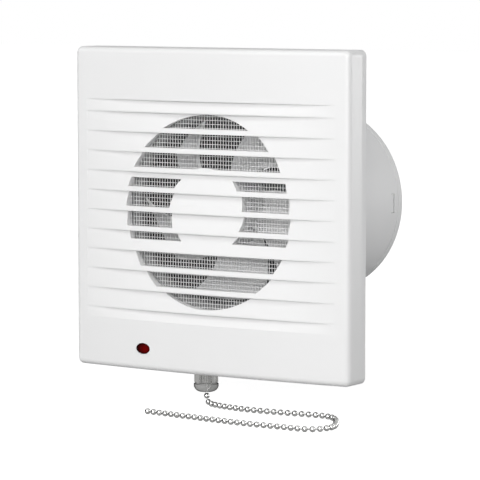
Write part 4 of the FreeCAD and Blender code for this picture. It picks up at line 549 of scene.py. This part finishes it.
def insect_net():
    low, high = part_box("insect_net")
    radius = (high.x - low.x) / 2
    centre = (low + high) / 2
    inner = radius - NET_EDGE
    points = []
    faces = []
    for pitch, upright in ((NET_PITCH_ACROSS, True), (NET_PITCH_UP, False)):
        count = int(inner / pitch)
        for number in range(-count, count + 1):
            add_thread(points, faces, centre, inner, number, upright)
    profile = [(inner, low.y), (radius, low.y), (radius, high.y), (inner, high.y)]
    add_net_edge(points, faces, centre, profile)
    piece = new_piece("woven_net", points, faces, "net_plastic", "root", smooth=False)
    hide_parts("insect_net")


# The bead chain: round beads joined by thin links, along one smooth line

def route_line(route):
    """Points along the smooth line that has the route as its control points."""
    curve = bpy.data.curves.new("chain_line", "CURVE")
    curve.dimensions = "3D"
    curve.resolution_u = ROUTE_RESOLUTION
    spline = curve.splines.new("NURBS")
    spline.points.add(len(route) - 1)
    for point, place in zip(spline.points, route):
        point.co = (*place, 1)
    spline.order_u = 3
    spline.use_endpoint_u = True
    carrier = bpy.data.objects.new("chain_line", curve)
    bpy.context.scene.collection.objects.link(carrier)
    bpy.context.view_layer.update()
    line_mesh = bpy.data.meshes.new_from_object(carrier)
    line = [vertex.co.copy() for vertex in line_mesh.vertices]
    bpy.data.objects.remove(carrier)
    bpy.data.meshes.remove(line_mesh)
    return line


def along_line(line):
    """The line's length, and a function from a distance along it to a point and a direction."""
    lengths = [0.0]
    for a, b in zip(line, line[1:]):
        lengths.append(lengths[-1] + (b - a).length)

    def at(distance):
        distance = min(max(distance, 0.0), lengths[-1])
        i = 0
        while i < len(lengths) - 2 and lengths[i + 1] < distance:
            i += 1
        span = lengths[i + 1] - lengths[i]
        share = (distance - lengths[i]) / span
        return line[i].lerp(line[i + 1], share), (line[i + 1] - line[i]).normalized()

    return lengths[-1], at


def add_bead(points, faces, centre, ahead):
    """Adds a round bead with a small flat end where each link goes in."""
    side = ahead.orthogonal().normalized()
    up = ahead.cross(side)
    start = len(points)
    end_angle = math.asin(BEAD_END_RADIUS / BEAD_RADIUS)
    for i in range(BEAD_RINGS + 1):
        polar = end_angle + (math.pi - 2 * end_angle) * i / BEAD_RINGS
        for k in range(BEAD_SIDES):
            angle = 2 * math.pi * k / BEAD_SIDES
            around = side * math.cos(angle) + up * math.sin(angle)
            points.append(centre + (around * math.sin(polar) - ahead * math.cos(polar)) * BEAD_RADIUS)
    add_skin(faces, start, BEAD_RINGS + 1, BEAD_SIDES)


def bead_chain():
    line = route_line(CHAIN_ROUTE)
    length, at = along_line(line)
    count = round((length - 2 * BEAD_RADIUS) / BEAD_PITCH)
    pitch = (length - 2 * BEAD_RADIUS) / count
    points = []
    faces = []
    for i in range(count + 1):
        here = BEAD_RADIUS + i * pitch
        centre, ahead = at(here)
        add_bead(points, faces, centre, ahead)
        if i < count:
            link = [at(here + pitch * step / LINK_STEPS)[0] for step in range(LINK_STEPS + 1)]
            add_tube(points, faces, link, LINK_RADIUS, LINK_SIDES)
    piece = new_piece("ball_chain", points, faces, "nickel_plate")
    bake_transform(piece)
    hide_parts("bead_chain")


# The return spring in the switch: a wound coil

def return_spring():
    low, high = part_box("return_spring")
    centre = (low + high) / 2
    radius = (high.x - low.x) / 2 - SPRING_WIRE_RADIUS
    bottom = low.z + SPRING_WIRE_RADIUS
    top = high.z - SPRING_WIRE_RADIUS
    steps = SPRING_TURNS * SPRING_STEPS
    line = []
    for i in range(steps + 1):
        angle = 2 * math.pi * i / SPRING_STEPS
        x = centre.x + radius * math.cos(angle)
        y = centre.y + radius * math.sin(angle)
        line.append(Vector((x, y, bottom + (top - bottom) * i / steps)))
    points = []
    faces = []
    add_tube(points, faces, line, SPRING_WIRE_RADIUS, SPRING_SIDES)
    piece = new_piece("spring_coil", points, faces, "shaft_steel", "root")
    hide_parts("return_spring")
    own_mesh(piece)


insect_net()
bead_chain()
return_spring()


# Floor, room, lamps and camera

def make_floor():
    """A pale floor under the chain. Its glow shows in the view and in gloss, but lights nothing."""
    reach = FLOOR_REACH
    corners = [(-reach, -reach, 0), (reach, -reach, 0), (reach, reach, 0), (-reach, reach, 0)]
    data = mesh_from("floor", corners, [(0, 1, 2, 3)])
    floor = bpy.data.objects.new("floor", data)
    bpy.context.scene.collection.objects.link(floor)
    floor.location.z = CHAIN_ROUTE[1][2] - BEAD_RADIUS
    paint = Paint("pale_floor")
    paint.even(Base_Color=(*FLOOR_COLOUR, 1), Roughness=0.9, Specular_IOR_Level=0.2)
    paint.even(Emission_Color=(1, 1, 1, 1))
    glow = paint.ramp(paint.length(paint.place), FLOOR_GLOW_DISTANCES, (FLOOR_GLOW_NEAR, FLOOR_GLOW_FAR))
    rays = paint.node("ShaderNodeLightPath")
    in_gloss = paint.calculate("MULTIPLY", rays.outputs["Is Glossy Ray"], FLOOR_GLOW_IN_GLOSS)
    shown = paint.calculate("MAXIMUM", rays.outputs["Is Camera Ray"], in_gloss)
    paint.link(paint.calculate("MULTIPLY", shown, glow), paint.shader.inputs["Emission Strength"])
    data.materials.append(paint.material)


def make_world():
    """A pale room: white in the view, soft on the part, and in gloss and glass with a dark left side."""
    world = bpy.data.worlds.new("studio")
    bpy.context.scene.world = world
    world.use_nodes = True
    room = Nodes(world.node_tree)
    background = room.tree.nodes["Background"]
    background.inputs["Color"].default_value = (1, 1, 1, 1)
    rays = room.node("ShaderNodeLightPath")
    direction = room.node("ShaderNodeTexCoord").outputs["Generated"]
    parts = room.node("ShaderNodeSeparateXYZ", Vector=direction)
    light_ends = (ROOM_LIGHT_FRONT, ROOM_LIGHT_BACK)
    light = room.ramp(parts.outputs["Y"], ROOM_FRONT_TO_BACK, light_ends, "SMOOTHSTEP")
    wall_ends = (ROOM_DARK_SIDE, ROOM_WALLS)
    walls = room.ramp(parts.outputs["X"], ROOM_DARK_TO_WALLS, wall_ends, "SMOOTHSTEP")
    in_gloss = rays.outputs["Is Glossy Ray"]
    in_glass = rays.outputs["Is Transmission Ray"]
    mirrored = room.calculate("MAXIMUM", in_gloss, in_glass)
    unseen = room.mix_numbers(mirrored, light, walls)
    strength = room.mix_numbers(rays.outputs["Is Camera Ray"], unseen, 1.0)
    room.link(strength, background.inputs["Strength"])


def add_lamp(name, azimuth, elevation, distance, size, power):
    """A square lamp that looks at the fan's middle from the given side."""
    data = bpy.data.lights.new(name, "AREA")
    data.size = size
    data.energy = power
    lamp = bpy.data.objects.new(name, data)
    bpy.context.scene.collection.objects.link(lamp)
    a = math.radians(azimuth)
    e = math.radians(elevation)
    back = Vector((math.sin(a) * math.cos(e), -math.cos(a) * math.cos(e), math.sin(e)))
    lamp.location = back * distance
    lamp.rotation_euler = (-back).to_track_quat("-Z", "Y").to_euler()


def make_camera():
    data = bpy.data.cameras.new("camera")
    data.sensor_width = SENSOR_WIDTH
    data.lens = CAMERA_FOCAL_PIXELS / IMAGE_SIZE * SENSOR_WIDTH
    data.clip_end = CAMERA_CLIP_END
    camera = bpy.data.objects.new("camera", data)
    bpy.context.scene.collection.objects.link(camera)
    ahead = Vector((
        -math.sin(CAMERA_YAW) * math.cos(CAMERA_PITCH),
        math.cos(CAMERA_YAW) * math.cos(CAMERA_PITCH),
        -math.sin(CAMERA_PITCH),
    ))
    camera.location = CAMERA_PLACE
    camera.rotation_euler = ahead.to_track_quat("-Z", "Y").to_euler()
    bpy.context.scene.camera = camera


make_floor()
make_world()
for name, settings in LAMPS.items():
    add_lamp(name, **settings)
make_camera()
bpy.context.scene.view_settings.view_transform = "Standard"
